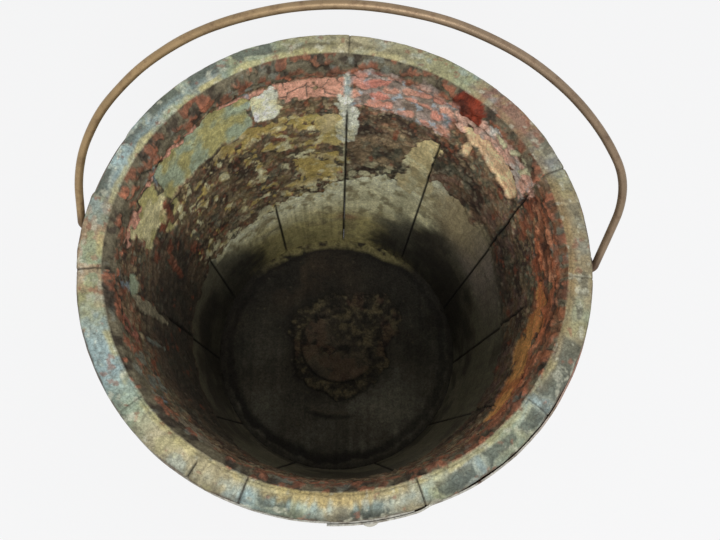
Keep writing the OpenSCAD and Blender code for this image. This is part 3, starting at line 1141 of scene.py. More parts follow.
        # thickness: thin at the rim, a ledge at the foot of the upper band, then even
        ledge_at = self.band_depth + 2.6 * s.noise(22, 43, 3)
        ledge = 0.5 + 0.5 * np.cos(np.radians(s.angle - 140))
        inband = ramp(1.2, -0.8, s.depth - ledge_at)
        band = ramp(0, 8, s.depth) * inband
        thick = 0.4 + 0.8 * ramp(0, 30, s.depth) + band * (1.2 + 1.9 * ledge)
        lump = (1 - inband) * s.plates.dome(0.78) * (0.4 + 1.1 * s.plates.key)
        lump = lump + inband * big * (2.7 - 2.3 * lumps.key) * ramp(0, 5, s.depth)
        fine = grit * (0.1 + 0.3 * small.key) + 0.55 * s.noise(14, 44, 4)
        lift = crust * (thick + lump + fine) + (1 - crust) * 0.22 * grain

        # colour: dark in the cracks, painted shadow under the ledge, thinning out at its foot
        face = Face(self.crust_colour(s, small, lumps, inband), lift)
        crack = (1 - inband) * (0.30 * (1 - s.plates.whole) + 0.16 * (1 - grit))
        # in the band, painted shade between the lumps
        crack = crack + inband * (0.62 - 0.45 * lumps.key) * (1 - ramp(0, 0.5, big))
        face.shade(1 - crack)
        face.lay(Tone.UNDER_LEDGE, hump(s.depth, ledge_at + 1.4, 1.2) * (0.15 + 0.5 * ledge))
        fade = 0.7 + 11 * hump(s.side, 12, 22)
        shown = np.minimum(ramp(fade, -fade, below + fade - 0.7), crust)
        face.colour = lay(self.wood(s, below, grain), face.colour, shown)

        self.crumbs(s, face, below)
        self.patches(s, face, crust, grain, warp)
        self.flakes(s, face)
        self.drawn_paint(s, face)
        self.painted_light_and_seams(s, face, crust)
        board = ramp(242, 256, s.depth + 4 * warp)
        face.lay(Tone.BOARD_CRUST, 0.6 * board * s.near(98, 34) * ramp(-0.6, 0.2, grain))
        return face.lift, face.colour, 0.12 * crust * (0.4 + 0.6 * s.plates.other)

    def crumbs(self, s: Spot, face: Face, below: Array) -> None:
        """Cream crumbs either side of the crust's edge, and a pale lip along it at the left.

        Args:
            s: The points.
            face: The wall so far, which this changes.
            below: How far each point lies below the crust's edge.
        """
        zone = ramp(-30, -6, below) * ramp(16, 2, below)
        zone = zone * ramp(56, 68, s.angle) * ramp(168, 154, s.angle)
        shown = ramp(0.16, 0.34, s.noise(6, 88, 5) + 0.16 * zone) * zone
        face.lay(Tone.CREAM * 0.85, 0.85 * shown)
        face.lift += 0.3 * shown
        lip = hump(below, 0, 1.8) * ramp(172, 184, s.angle) * ramp(242, 230, s.angle)
        face.lay(Tone.CRUST_LIP, 0.6 * lip)

    def patches(self, s: Spot, face: Face, crust: Array, grain: Array, warp: Array) -> None:
        """Lays every patch of WALL_PATCHES, in order.

        Args:
            s: The points.
            face: The wall so far, which this changes.
            crust: 1 where the crust is, 0 on wood.
            grain: The wood's grain.
            warp: A slow unevenness.
        """
        speck = s.noise(3.6, 92, 4)
        for k, patch in enumerate(WALL_PATCHES):
            cover = patch.cover(s, 100 + 7 * k)
            body = patch.colour
            if patch.second is not None:
                blend = ramp(-0.15, 0.45, s.noise(10, 101 + 7 * k, 5))
                body = lay(patch.colour, patch.second, blend)
            body = shade(body, 0.92 + 0.16 * grain + 0.10 * warp + 0.26 * speck)
            if patch.bare:
                step = np.maximum(crust + patch.relief + 0.3 * warp, 0.15)
                face.lift += (step - face.lift) * cover
            else:
                face.lift += patch.relief * cover
                body = shade(body, 1 - 0.4 * (1 - s.plates.whole))
            face.lay(body, cover)

    def flakes(self, s: Spot, face: Face) -> None:
        """Loose flakes of colour: ochre at the back, pink by the drip, salmon blocks.

        Args:
            s: The points.
            face: The wall so far, which this changes.
        """
        flake = s.noise(7.5, 63, 5, z=1.3)
        fewer = 0.10 * ramp(118, 142, s.angle)
        ochre = lay(Tone.OCHRE, Tone.CREAM, ramp(-0.3, 0.4, s.noise(6, 64, 3)))
        upper, lower = s.window(98, 160, 62, 112, 14), s.window(93, 162, 104, 170, 12)
        shown = ramp(0.40, 0.47, flake * 0.75 + 0.32 * upper - fewer) * ramp(0.05, 0.3, upper)
        face.lay(ochre * 0.94, 0.85 * shown)
        face.lift -= 0.35 * shown
        shown = ramp(0.36, 0.46, flake * 0.7 + 0.28 * lower - fewer) * ramp(0.05, 0.3, lower)
        face.lay(ochre * 0.9, 0.8 * shown)

        # rounded pink pieces on the blue-grey ground
        warp = s.noise(8, 65, 4)
        pieces = Cells.over(s.arc / 11.5 + 0.45 * warp, s.depth / 8.5 + 0.45 * warp, 66)
        there = s.window(58, 91, 12, 50, 3)
        pink = ramp(0.50, 0.38, pieces.near) * (pieces.key < 0.62 + 0.3 * (s.depth < 32))
        pink = pink * there
        tint = lay(Tone.PINK, Tone.SALMON, pieces.other)
        face.lay(shade(tint, 0.92 + 0.14 * warp), 0.92 * pink)
        face.lift += 0.45 * pink
        specks = ramp(0.28, 0.42, s.noise(4.5, 67, 3)) * there
        face.lay(Tone.BLUE_SPECK, 0.8 * specks * (1 - 0.8 * pink))

        # salmon blocks with fine cracks between them, above the dark crust
        blocks = Cells.over(s.arc / 11 + 0.12 * warp, s.depth / 17 + 0.12 * warp, 68)
        torn = s.noise(9, 69, 4) - 0.30 - 0.3 * (s.depth < 37)
        slab = s.window(93, 113, 21.5, 41, 0.8) * ramp(0.2, 0.0, torn)
        joint = ramp(0.015, 0.07, blocks.gap)
        tint = shade(Tone.SALMON, 0.92 + 0.16 * blocks.key + 0.10 * warp)
        face.lay(lay(Tone.BLOCK_JOINT, tint, joint), 0.95 * slab)
        face.lift += slab * (0.35 * joint - 0.1)

    def drawn_paint(self, s: Spot, face: Face) -> None:
        """At the right the paint is drawn out round the wall in rust-red ridges.

        Args:
            s: The points.
            face: The wall so far, which this changes.
        """
        along = fbm(s.arc * 0.22, s.depth, 0 * s.arc, 4.0, 94, 3)
        drawn = hump(s.side, -4, 36) * ramp(3, 9, s.depth) * ramp(60, 42, s.depth)
        groove = ramp(0.10, 0.38, along) * drawn
        face.lay(Tone.DRAWN_GROOVE, 0.7 * groove)
        face.lay(Tone.DRAWN_RIDGE, 0.45 * ramp(0.12, 0.42, -along) * drawn)
        face.lift -= 0.8 * groove

    def painted_light_and_seams(self, s: Spot, face: Face, crust: Array) -> None:
        """Painted light on the upper wall, blue caught in cracks, dirt along open seams.

        Args:
            s: The points.
            face: The wall so far, which this changes.
            crust: 1 where the crust is, 0 on wood.
        """
        # painted light: paler near the rim, furthest down at the right of the back
        reach = s.near(66, 40)
        paler = ramp(9, 26, s.depth) * ramp(70 + 40 * reach, 48 + 12 * reach, s.depth)
        paler = paler * (1 - 0.6 * hump(s.angle, 192, 26))
        face.shade(1 + (0.32 + 0.12 * reach) * paler)

        blue = ramp(4.5, 1.0, s.seam) * ramp(12, 20, s.depth) * ramp(46, 34, s.depth)
        blue = blue * ramp(0.0, 0.15, s.noise(5, 61)) * ramp(250, 230, s.angle)
        face.lay(Tone.SKY, 0.6 * blue)
        edge = ramp(1.3, 0.1, s.seam) * s.opened
        face.lay(Tone.SOOT, 0.85 * edge)
        face.lift -= edge * (0.3 + 0.9 * crust)

    def rim(self, s: Spot, across: Array) -> tuple[Array, Array, Array]:
        """The rim's end grain under worn paint.

        Args:
            s: The points.
            across: 0 at the inner edge to 1 at the outer.

        Returns:
            How far the surface stands proud, its colour, and its gloss.
        """
        drift = 3.0 * s.noise(15, 71, 4) + 1.4 * s.noise(5, 72, 3)
        blotch, warm = s.noise(14, 73, 5), s.noise(9, 74, 5)
        face = Face(rim_paint(s.angle + drift), 0.35 * blotch + 0.18 * warm)
        face.lay(Tone.PALE_BLUE, 0.45 * ramp(0.18, 0.5, -blotch))
        face.lay(Tone.OLIVE, 0.35 * ramp(0.2, 0.5, warm))
        for k, (at, wide, mid, spread) in enumerate(RIM_SCABS):
            out = np.maximum(np.abs(bearing(s.angle, at) * 2.4) - wide * 1.2,
                             (np.abs(across - mid) - spread / 2) * 13)
            out = out + 3.2 * s.noise(8, 500 + k, 4)
            face.lay(Tone.SCAB_EDGE, 0.35 * hump(out, 0.8, 1.1))
            face.lay(Tone.SCAB, 0.88 * ramp(0.8, -0.8, out))
        self.rim_films(s, face, across, blotch)
        self.end_grain(s, face, across, blotch)

        # flecks of dirt, rust and chalk, then the seams and one check in the wood
        face.lay(Tone.RIM_DIRT, 0.40 * ramp(0.40, 0.62, s.noise(2.6, 80, 3)))
        fleck = s.noise(4.5, 85, 3) + 0.22 * s.near(75, 16) + 0.1 * s.near(190, 20)
        face.lay(Tone.RUSTY_FLECK, 0.55 * ramp(0.54, 0.68, fleck))
        face.lay(Tone.CHALK_FLECK, 0.5 * ramp(0.36, 0.56, s.noise(4.4, 91, 4)))
        crack = ramp(1.0, 0.15, s.seam + 0.3 * warm) * s.shown
        face.lay(Tone.RIM_CRACK, 0.9 * crack)
        check = s.near(243.5, 0.22) * ramp(0.15, 0.45, across + 0.1 * warm)
        face.lay(Tone.SOOT, 0.9 * check)
        lift = face.lift - 0.8 * crack - 1.2 * check
        return lift, face.colour, 0.02 + 0 * lift

    def rim_films(self, s: Spot, face: Face, across: Array, blotch: Array) -> None:
        """Paint films, stains, worn places and painted shade on the rim and its two edges.

        Args:
            s: The points.
            face: The rim so far, which this changes.
            across: 0 at the inner edge to 1 at the outer.
            blotch: A slow unevenness.
        """
        face.lay(Tone.RIM_SALMON, 0.6 * hump(s.angle, 186, 12)
                 * ramp(0.1, 0.25, s.noise(6, 75, 4)))
        # the inner edge is worn to a thin broken line
        around = 0.34 + 0.50 * s.near(138, 26) + 0.4 * s.near(285, 30) + 0.4 * s.near(205, 34)
        broken = ramp(-0.4, 0.15, s.noise(11, 86, 4))
        inner = ramp(0.27, 0.12, across + 0.12 * s.noise(8, 76, 4)) * broken
        face.lay(Tone.INNER_LINE, inner * around)
        face.lay(Tone.RIM_BROWN, 0.40 * s.near(12, 34))
        ribs = fbm(self.rim_arc(s), 0 * s.x, 0 * s.x, 2.6, 93, 2)
        ochre = s.near(273, 19) * ramp(0.52, 0.20, across + 0.16 * ribs + 0.08 * blotch)
        face.lay(Tone.RIM_OCHRE, 0.8 * ochre)
        water = s.near(270, 20) * hump(across, 0.56, 0.16) * ramp(-0.4, 0.3, ribs)
        face.lay(Tone.RIM_WATER, 0.6 * water)
        stained = s.near(4, 30) * ramp(0.40, 0.08, across + 0.16 * blotch)
        face.lay(Tone.RIM_STAIN, 0.75 * stained)
        film = s.near(148, 18) * hump(across, 0.36 + 0.1 * blotch, 0.15)
        face.lay(Tone.PALE_BLUE, 0.6 * film)
        # the outer edge is dark, and the front's outer half is darkened as painted shade
        front = ramp(200, 224, s.angle) * ramp(356, 340, s.angle)
        painted_edge_shade = front * ramp(0.52, 0.90, across + 0.10 * blotch)
        face.shade(1 - (0.36 + 0.28 * s.near(272, 18)) * painted_edge_shade)
        face.lay(Tone.OUTER_EDGE, 0.85 * ramp(0.88, 0.99, across + 0.07 * s.noise(6, 77)))

    def end_grain(self, s: Spot, face: Face, across: Array, blotch: Array) -> None:
        """Fine lines of end grain, and a dark crusty ridge at the back.

        Args:
            s: The points.
            face: The rim so far, which this changes.
            across: 0 at the inner edge to 1 at the outer.
            blotch: A slow unevenness.
        """
        u, radius = self.rim_arc(s), np.hypot(s.x, s.y)
        streak = fbm(u, radius * 0.09, 0 * u, 1.7, 78, 3)
        # plainest where the paint is thin
        thin = 0.35 + s.near(243, 14) + s.near(277, 13) + 0.8 * s.near(44, 12)
        thin = thin + 0.4 * s.near(215, 12)
        face.shade(1 + 0.17 * thin * streak)
        face.lay(Tone.RED_STREAK, 0.55 * s.near(45, 10) * ramp(0.0, 0.5, streak))
        crest = hump(across, 0.34 + 0.14 * blotch, 0.13)
        ridge = s.near(98, 20) * crest * ramp(-0.35, 0.15, fbm(u, radius * 2, 0 * u, 7, 79))
        face.lay(Tone.DIRT_RIDGE, 0.8 * ridge)
        face.lift += 0.12 * thin * streak + 0.8 * ridge

    def rim_arc(self, s: Spot) -> Array:
        """Millimetres round the rim."""
        return np.radians(s.angle) * self.rim_arc_r

    def outside(self, s: Spot) -> tuple[Array, Array, Array]:
        """The weathered outer face, with paint run over the rim.

        Args:
            s: The points.

        Returns:
            How far the surface stands proud, its colour, and its gloss.
        """
        sizes = self.sizes
        grain = s.noise(4.5, 81, 4, xy=1.7, z=0.10)
        broad = s.noise(40, 82, 4, z=0.4)
        face = Face.plain(Tone.OLD_WOOD, s.x)
        face.lay(Tone.DARK_WOOD, ramp(-0.3, 0.5, broad))
        face.lay(Tone.SILVERED_WOOD, 0.6 * ramp(0.15, 0.6, grain))
        face.shade(1 + 0.25 * grain)
        run = fbm(np.radians(s.angle) * self.outer_arc_r, 0 * s.z, 0 * s.z, 9, 83, 3)
        reach = 14 + 46 * ramp(0.05, 0.7, run) + 6 * broad
        worn = ramp(-0.15, 0.1, s.noise(11, 84, 4, z=0.6))
        face.lay(rim_paint(s.angle + 6 * broad) * 0.86, ramp(2.0, -2.0, s.depth - reach) * worn)
        face.lay(Tone.WET_FOOT, 0.55 * ramp(60, 0, s.z + 14 * broad))
        for low in (sizes.bottom_hoop_z, sizes.top_hoop_z):
            by_hoop = hump(s.z, low + sizes.hoop_w / 2 - 6, 16)
            face.lay(Tone.IRON_STAIN, 0.55 * by_hoop * ramp(-0.2, 0.5, grain))
        edge = ramp(1.6, 0.1, s.seam)
        face.lay(Tone.SOOT, 0.75 * edge)
        lift = 0.10 * grain * ramp(0, 2, s.seam) - 0.35 * edge
        # nothing stands proud where a hoop or an ear lies on the wood
        for low, high in self.under_iron:
            lift = np.where((s.z > low) & (s.z < high), np.minimum(lift, 0), lift)
        return lift, face.colour, 0.02 + 0 * lift

    def build_one(self, index: int) -> bpy.types.Object:
        """One stave.

        Args:
            index: The number of the seam it starts at. It ends at the next.

        Returns:
            The stave, without its finish.
        """
        s = self.sizes
        count = len(s.seams)
        after = (index + 1) % count
        start = s.seams[index]
        end = s.seams[after] + (360 if after == 0 else 0)
        r, z, zone = self.section()
        width = math.radians(end - start) * s.wall_in(s.height)
        n = round(width / self.fine)
        by_seam = np.array((0, 0.25, 0.7)) / width
        t = np.concatenate([by_seam, np.linspace(1.4 / width, 1 - 1.4 / width, n - 3),
                            1 - by_seam[::-1]])
        radius, height = (np.repeat(c[:, None], len(t), 1) for c in (r, z))

        # a seam opens only below where paint bridges it, and hardly at the outer face
        inner = 1 - 0.9 * ramp(0.35, 0.9, (r - s.wall_in(z)) / s.stave_t)
        gap = (s.seam_foot + (s.seam_top - s.seam_foot) * z / s.height) * inner
        first, second = (ramp(SEAM_OPENS[k] - 7, SEAM_OPENS[k] + 7, s.height - z)
                         for k in (index, after))
        trim_a, trim_b = (np.degrees(np.arcsin(np.maximum(gap * f, 0.03) / 2 / r))
                          for f in (first, second))
        angle = (start + trim_a)[:, None] * (1 - t) + (end - trim_b)[:, None] * t
        seam = np.minimum(t, 1 - t)[None, :] * np.radians(end - start) * radius
        opened = np.where(t < 0.5, first[:, None], second[:, None])
        shown = np.where(t < 0.5, SEAM_ON_RIM[index], SEAM_ON_RIM[after]) + 0 * radius
        spot = self.spot(radius, height, angle, seam, opened, shown)

        dr = np.roll(r, -1) - np.roll(r, 1)
        dz = np.roll(z, -1) - np.roll(z, 1)
        length = np.hypot(dr, dz)
        out_r, out_z = dz / length, -dr / length
        lift = np.zeros_like(radius)
        colour = Face.plain(Tone.RAW_WOOD, radius).colour.copy()
        gloss = np.zeros_like(radius)

        rows = zone == Zone.INSIDE.value
        lift[rows], colour[rows], gloss[rows] = self.inside(spot.rows(rows))
        rows = (zone == Zone.RIM.value) | (zone == Zone.EDGE.value)
        across = (radius[rows] - s.wall_in(s.height)) / s.stave_t
        lift[rows], colour[rows], gloss[rows] = self.rim(spot.rows(rows), across)
        rows = zone == Zone.OUTSIDE.value
        lift[rows], colour[rows], gloss[rows] = self.outside(spot.rows(rows))

        # the rim's outer corner is worn back at the left, and each stave end sits its own way
        worn = ramp(153, 158, angle) * ramp(172.5, 169.5, angle)
        corner = ramp(s.height - 14, s.height - 2, height) * (zone[:, None] < 2)
        back = 2.0 * worn * corner
        up = 0.5 * (lattice(index, 0, 0, 5) - 0.7)
        near_top = ramp(s.height - 20, s.height, height)
        a = np.radians(angle)
        rr = radius + out_r[:, None] * lift - back
        zz = np.maximum(height + out_z[:, None] * lift + up * near_top, 0)
        grid = np.stack([rr * np.cos(a), rr * np.sin(a), zz], -1)
        return sweep_mesh(f"stave_{index + 1:02d}_skin", grid,
                          {"tone": np.clip(colour, 0, 1), "gloss": gloss})

    def build(self) -> None:
        """Builds and dresses every stave and rides it on the bucket."""
        skin = self.finish.build()
        for index in range(len(self.sizes.seams)):
            piece = self.build_one(index)
            piece.data.materials.append(skin)
            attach(piece, "bucket")
            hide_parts(f"stave_{index + 1:02d}")
            LOG.info("stave %d: %d faces", index + 1, len(piece.data.polygons))


# --------------------------------------------------------------------------- board

@dataclass(frozen=True)
class BoardSpot:
    """Points on the board's upper face, and the noises that its marks share.

    px and py run along the camera's own axes, angle and r from the board's middle. smear is
    the broadest of the noises, then wander, then crumb.
    """

    x: Array
    y: Array
    px: Array
    py: Array
    r: Array
    angle: Array
    smear: Array
    wander: Array
    crumb: Array

    @staticmethod
    def over(x: Array, y: Array) -> "BoardSpot":
        """The facts about some points.

        Args:
            x, y: Where they are.

        Returns:
            The points.
        """
        a, zero = math.radians(SPIN), 0 * x
        px = x * math.cos(a) + y * math.sin(a)
        py = -x * math.sin(a) + y * math.cos(a)
        return BoardSpot(x, y, px, py, np.hypot(x, y), np.degrees(np.arctan2(y, x)) % 360,
                         fbm(px, py, zero, 22, 209, 5), fbm(px, py, zero, 15, 203, 4),
                         fbm(px, py, zero, 5, 208, 5))

    def toward(self, at: float) -> Array:
        """1 in a direction from the board's middle to -1 in the opposite one."""
        return np.cos(np.radians(self.angle - at))


@dataclass
class BottomBoard:
    """The round board in the staves' groove, under a cake of dried paint.

    A tin once stood on it: can_x and can_y are the place of its foot and can_r its radius.
    ring_mm is how far apart the upper face's rings of points are, and edge how far its
    corners are taken off.
    """

    sizes: BucketSizes = SIZES
    ring_mm: float = 1.0
    inner_r: float = 0.6
    edge: float = 0.3
    low_rings: int = 26
    sectors: int = 400
    can_x: float = 2.3
    can_y: float = 4.8
    can_r: float = 38.0
    finish: PaintedSkin = field(default_factory=lambda: PaintedSkin(
        "paint_caked_board_skin", grain=1.6, contrast=0.42, relief=0.5))

    def top(self, x: Array, y: Array) -> tuple[Array, Array, Array]:
        """The board's upper face.

        Args:
            x, y: Points on it.

        Returns:
            How far the surface stands proud, its colour, and its gloss.
        """
        p = BoardSpot.over(x, y)
        grain = fbm(p.px * 1.3, p.py * 0.10, 0 * x, 4, 201, 4)
        broad = fbm(x, y, 0 * x, 34, 202, 4)
        face = Face.plain(Tone.BOARD, x)
        face.lift = 0.12 * grain + 0.25 * broad + 0.25 * p.smear
        # painted light: paler towards the front
        painted_front_light = 0.5 - 0.5 * np.sin(np.radians(p.angle - 8))
        face.lay(Tone.BOARD_DUST, painted_front_light * ramp(30, 64, p.r))
        face.lay(Tone.BOARD_WEAR, 0.45 * ramp(-0.2, 0.6, broad))
        # smudges: paler at the front right and left, a browner stain at the back left
        pale = hump(p.px, 52, 34) * hump(p.py, -58, 28)
        pale = pale + 0.6 * hump(p.px, -66, 22) * hump(p.py, -34, 40)
        face.shade(0.78 + 0.62 * pale + 0.34 * p.smear)
        brown = hump(p.px, -40, 44) * hump(p.py, 66, 30)
        face.lay(Tone.BOARD_BROWN, 0.7 * brown * ramp(-0.4, 0.4, p.smear))
        face.shade(1 + 0.20 * grain)
        cake = self.tin_mark(p, face)
        self.small_marks(p, face)
        self.joint(p, face)
        return face.lift, face.colour, 0.06 * cake

    def tin_mark(self, p: BoardSpot, face: Face) -> Array:
        """The residue round a tin's foot: a lobed cake, then the tin's own clean circle.

        Args:
            p: The points.
            face: The board so far, which this changes.

        Returns:
            Where the cake is, from 0 to 1 a point.
        """
        cx, cy = p.px - self.can_x, p.py - self.can_y
        from_can = np.hypot(cx, cy)
        around = np.degrees(np.arctan2(cy, cx))
        outline = self.can_r + 8 + 7 * p.wander + 2.5 * p.crumb
        blob = np.hypot((p.px - 36) / 22, (p.py - 30) / 22) + 0.35 * p.wander + 0.12 * p.crumb
        cake = np.maximum(ramp(1.2, -1.0, from_can - outline), ramp(1.05, 0.95, blob))
        plates = Cells.over(p.px / 3.6 + 0.8 * p.crumb, p.py / 3.6 + 0.5 * p.wander, 204)
        plate = ramp(0.02, 0.30, plates.gap)
        caked = ramp(4, 20, 0.7 * (cx + cy) + 7 * p.wander)
        disc = ramp(0.8, -0.8, from_can - self.can_r * 0.90) * (1 - 0.85 * caked)

        body = Face.plain(Tone.CAKE, p.x)
        body.lay(Tone.CAKE_PALE, ramp(-0.1, 0.5, p.crumb + 0.5 * plates.key - 0.2))
        body.lay(Tone.CAKE_CRUMB, 0.55 * ramp(0.35, 0.6, p.crumb) * (1 - 0.6 * disc))
        body.lay(Tone.CAKE_RED, 0.5 * ramp(0.2, 0.45, -p.wander))
        body.lay(Tone.CAKE_PIT, 0.8 * ramp(0.3, 0.5, -p.crumb))
        body.shade(0.6 + 0.4 * plate)
        ridge = ramp(0.16, 0.02, np.abs(p.crumb)) * ramp(30, 39, from_can)
        lumps = 0.8 + plate * (0.3 + 0.7 * plates.key) + 0.6 * p.wander + 0.9 * p.crumb
        face.lift += cake * (lumps + 0.5 * ridge) - 0.9 * disc * cake
        face.lay(body.colour, 0.9 * cake)
        face.lay(Tone.TIN_PALE, 0.65 * disc * ramp(-0.1, 0.4, p.wander + 0.5 * p.crumb + 0.3))
        face.lay(Tone.TIN_PINK, 0.35 * disc * ramp(0.15, 0.45, -p.smear + 0.3 * p.crumb))
        face.lay(Tone.TIN_DARK, 0.5 * disc * ramp(0.25, 0.45, p.smear))

        # the tin's ring and the cake's edge are painted darker on one side, as painted shade
        ring = hump(from_can, self.can_r * 0.93, 1.4)
        painted_shade_side = 0.25 + 0.75 * ramp(-0.2, 0.9, np.cos(np.radians(around - 235)))
        face.lift -= 1.6 * ring * painted_shade_side
        face.lay(Tone.TIN_RING, 0.9 * ring * painted_shade_side)
        face.lay(Tone.CAKE_EDGE, 0.7 * (hump(from_can, outline + 1.0, 1.6) * painted_shade_side))
        return cake

    def small_marks(self, p: BoardSpot, face: Face) -> None:
        """A low ridge nearer the front, a short check, and thin spatter.

        Args:
            p: The points.
            face: The board so far, which this changes.
        """
        ridge = hump(p.r, 58, 1.8) * ramp(246, 256, p.angle) * ramp(290, 280, p.angle)
        face.lay(Tone.BOARD_RIDGE, 0.6 * ridge)
        below = hump(p.r, 61.5, 2.4) * ramp(240, 254, p.angle) * ramp(296, 282, p.angle)
        face.lay(Tone.BOARD_SHADOW, 0.7 * below * ramp(-0.5, 0.2, p.smear))
        check = hump(p.px, 44 - 0.25 * (p.py + 2), 0.7) * ramp(16, 12, np.abs(p.py - 6))
        face.lay(Tone.SOOT, 0.8 * check)
        spatter = Cells.over(p.px / 9, p.py / 9, 207)
        drop = ramp(0.06 + 0.14 * spatter.other, 0.04, spatter.near) * (spatter.key > 0.72)
        face.lay(Tone.SPATTER, 0.4 * drop)
        face.lift += 0.9 * ridge - 0.9 * check + 0.35 * drop

    def joint(self, p: BoardSpot, face: Face) -> None:
        """The joint with the staves: a dark ring, with pale crust left along the back.

        Args:
            p: The points.
            face: The board so far, which this changes.
        """
        wall = self.sizes.wall_in(self.sizes.board_high)
        front = ramp(0.2, 0.9, p.toward(246))
        uneven = p.r + 3.0 * p.wander + 1.2 * p.crumb
        gutter = ramp(92.5 - 4 * front, 96, uneven) * ramp(102, 99, uneven)
        face.lay(Tone.GUTTER, (0.55 + 0.3 * front) * gutter)
        back = ramp(0.62, 0.92, p.toward(95))
        fillet = ramp(wall - 6.0 - 3.5 * back, wall - 2.5 - 2.5 * back, p.r + 2.0 * p.wander)
        crumbs = ramp(-0.8, 0.3, fbm(p.x, p.y, 0 * p.x, 4, 205, 4))
        face.lay(Tone.FILLET, 0.8 * fillet * back * crumbs)
        face.lay(Tone.FILLET_DARK, 0.6 * fillet * (1 - back))
        face.lift += fillet * (0.5 + 1.1 * crumbs)

    def build(self) -> None:
        """Builds the board, dresses it and rides it on the bucket."""
        s = self.sizes
        outer = s.groove_r - 2 * s.seat
        n = round(outer / self.ring_mm)
        top_r = np.linspace(self.inner_r, outer - self.edge, n)
        top_z = np.full(n, s.board_high)
        low_r = np.concatenate([[outer, outer, outer, outer - self.edge],
                                np.linspace(outer - 4, self.inner_r, self.low_rings)])
        low_z = np.concatenate([[s.board_high - self.edge, (s.board_high + s.board_low) / 2,
                                 s.board_low + self.edge, s.board_low],
                                np.full(self.low_rings, s.board_low)])
        r, z = np.concatenate([top_r, low_r]), np.concatenate([top_z, low_z])
        a = np.linspace(0, 2 * math.pi, self.sectors, endpoint=False)
        radius, height = np.broadcast_arrays(r[None, :], z[None, :])
        x, y = radius * np.cos(a)[:, None], radius * np.sin(a)[:, None]
        lift = np.zeros_like(x)
        height = np.broadcast_to(height, x.shape).copy()
        colour = Face.plain(Tone.BOARD_UNDER, x).colour.copy()
        gloss = np.zeros_like(x)
        lift[:, :n], colour[:, :n], gloss[:, :n] = self.top(x[:, :n], y[:, :n])
        grain = fbm(x[:, n:] * 1.3, y[:, n:] * 0.1, 0 * x[:, n:], 4, 206, 4)
        colour[:, n:] = colour[:, n:] * (1 + 0.25 * grain)[..., None]
        # flat where it enters the groove
        wall = s.wall_in(s.board_high)
        height += lift * ramp(wall + 0.6, wall - 0.2, np.hypot(x, y))
        piece = sweep_mesh("bottom_board_cake", np.stack([x, y, height], -1),
                           {"tone": np.clip(colour, 0, 1), "gloss": gloss})
        piece.data.materials.append(self.finish.build())
        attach(piece, "bucket")
        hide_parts("bottom_board")
        LOG.info("bottom board: %d faces", len(piece.data.polygons))


# --------------------------------------------------------------------------- hoops

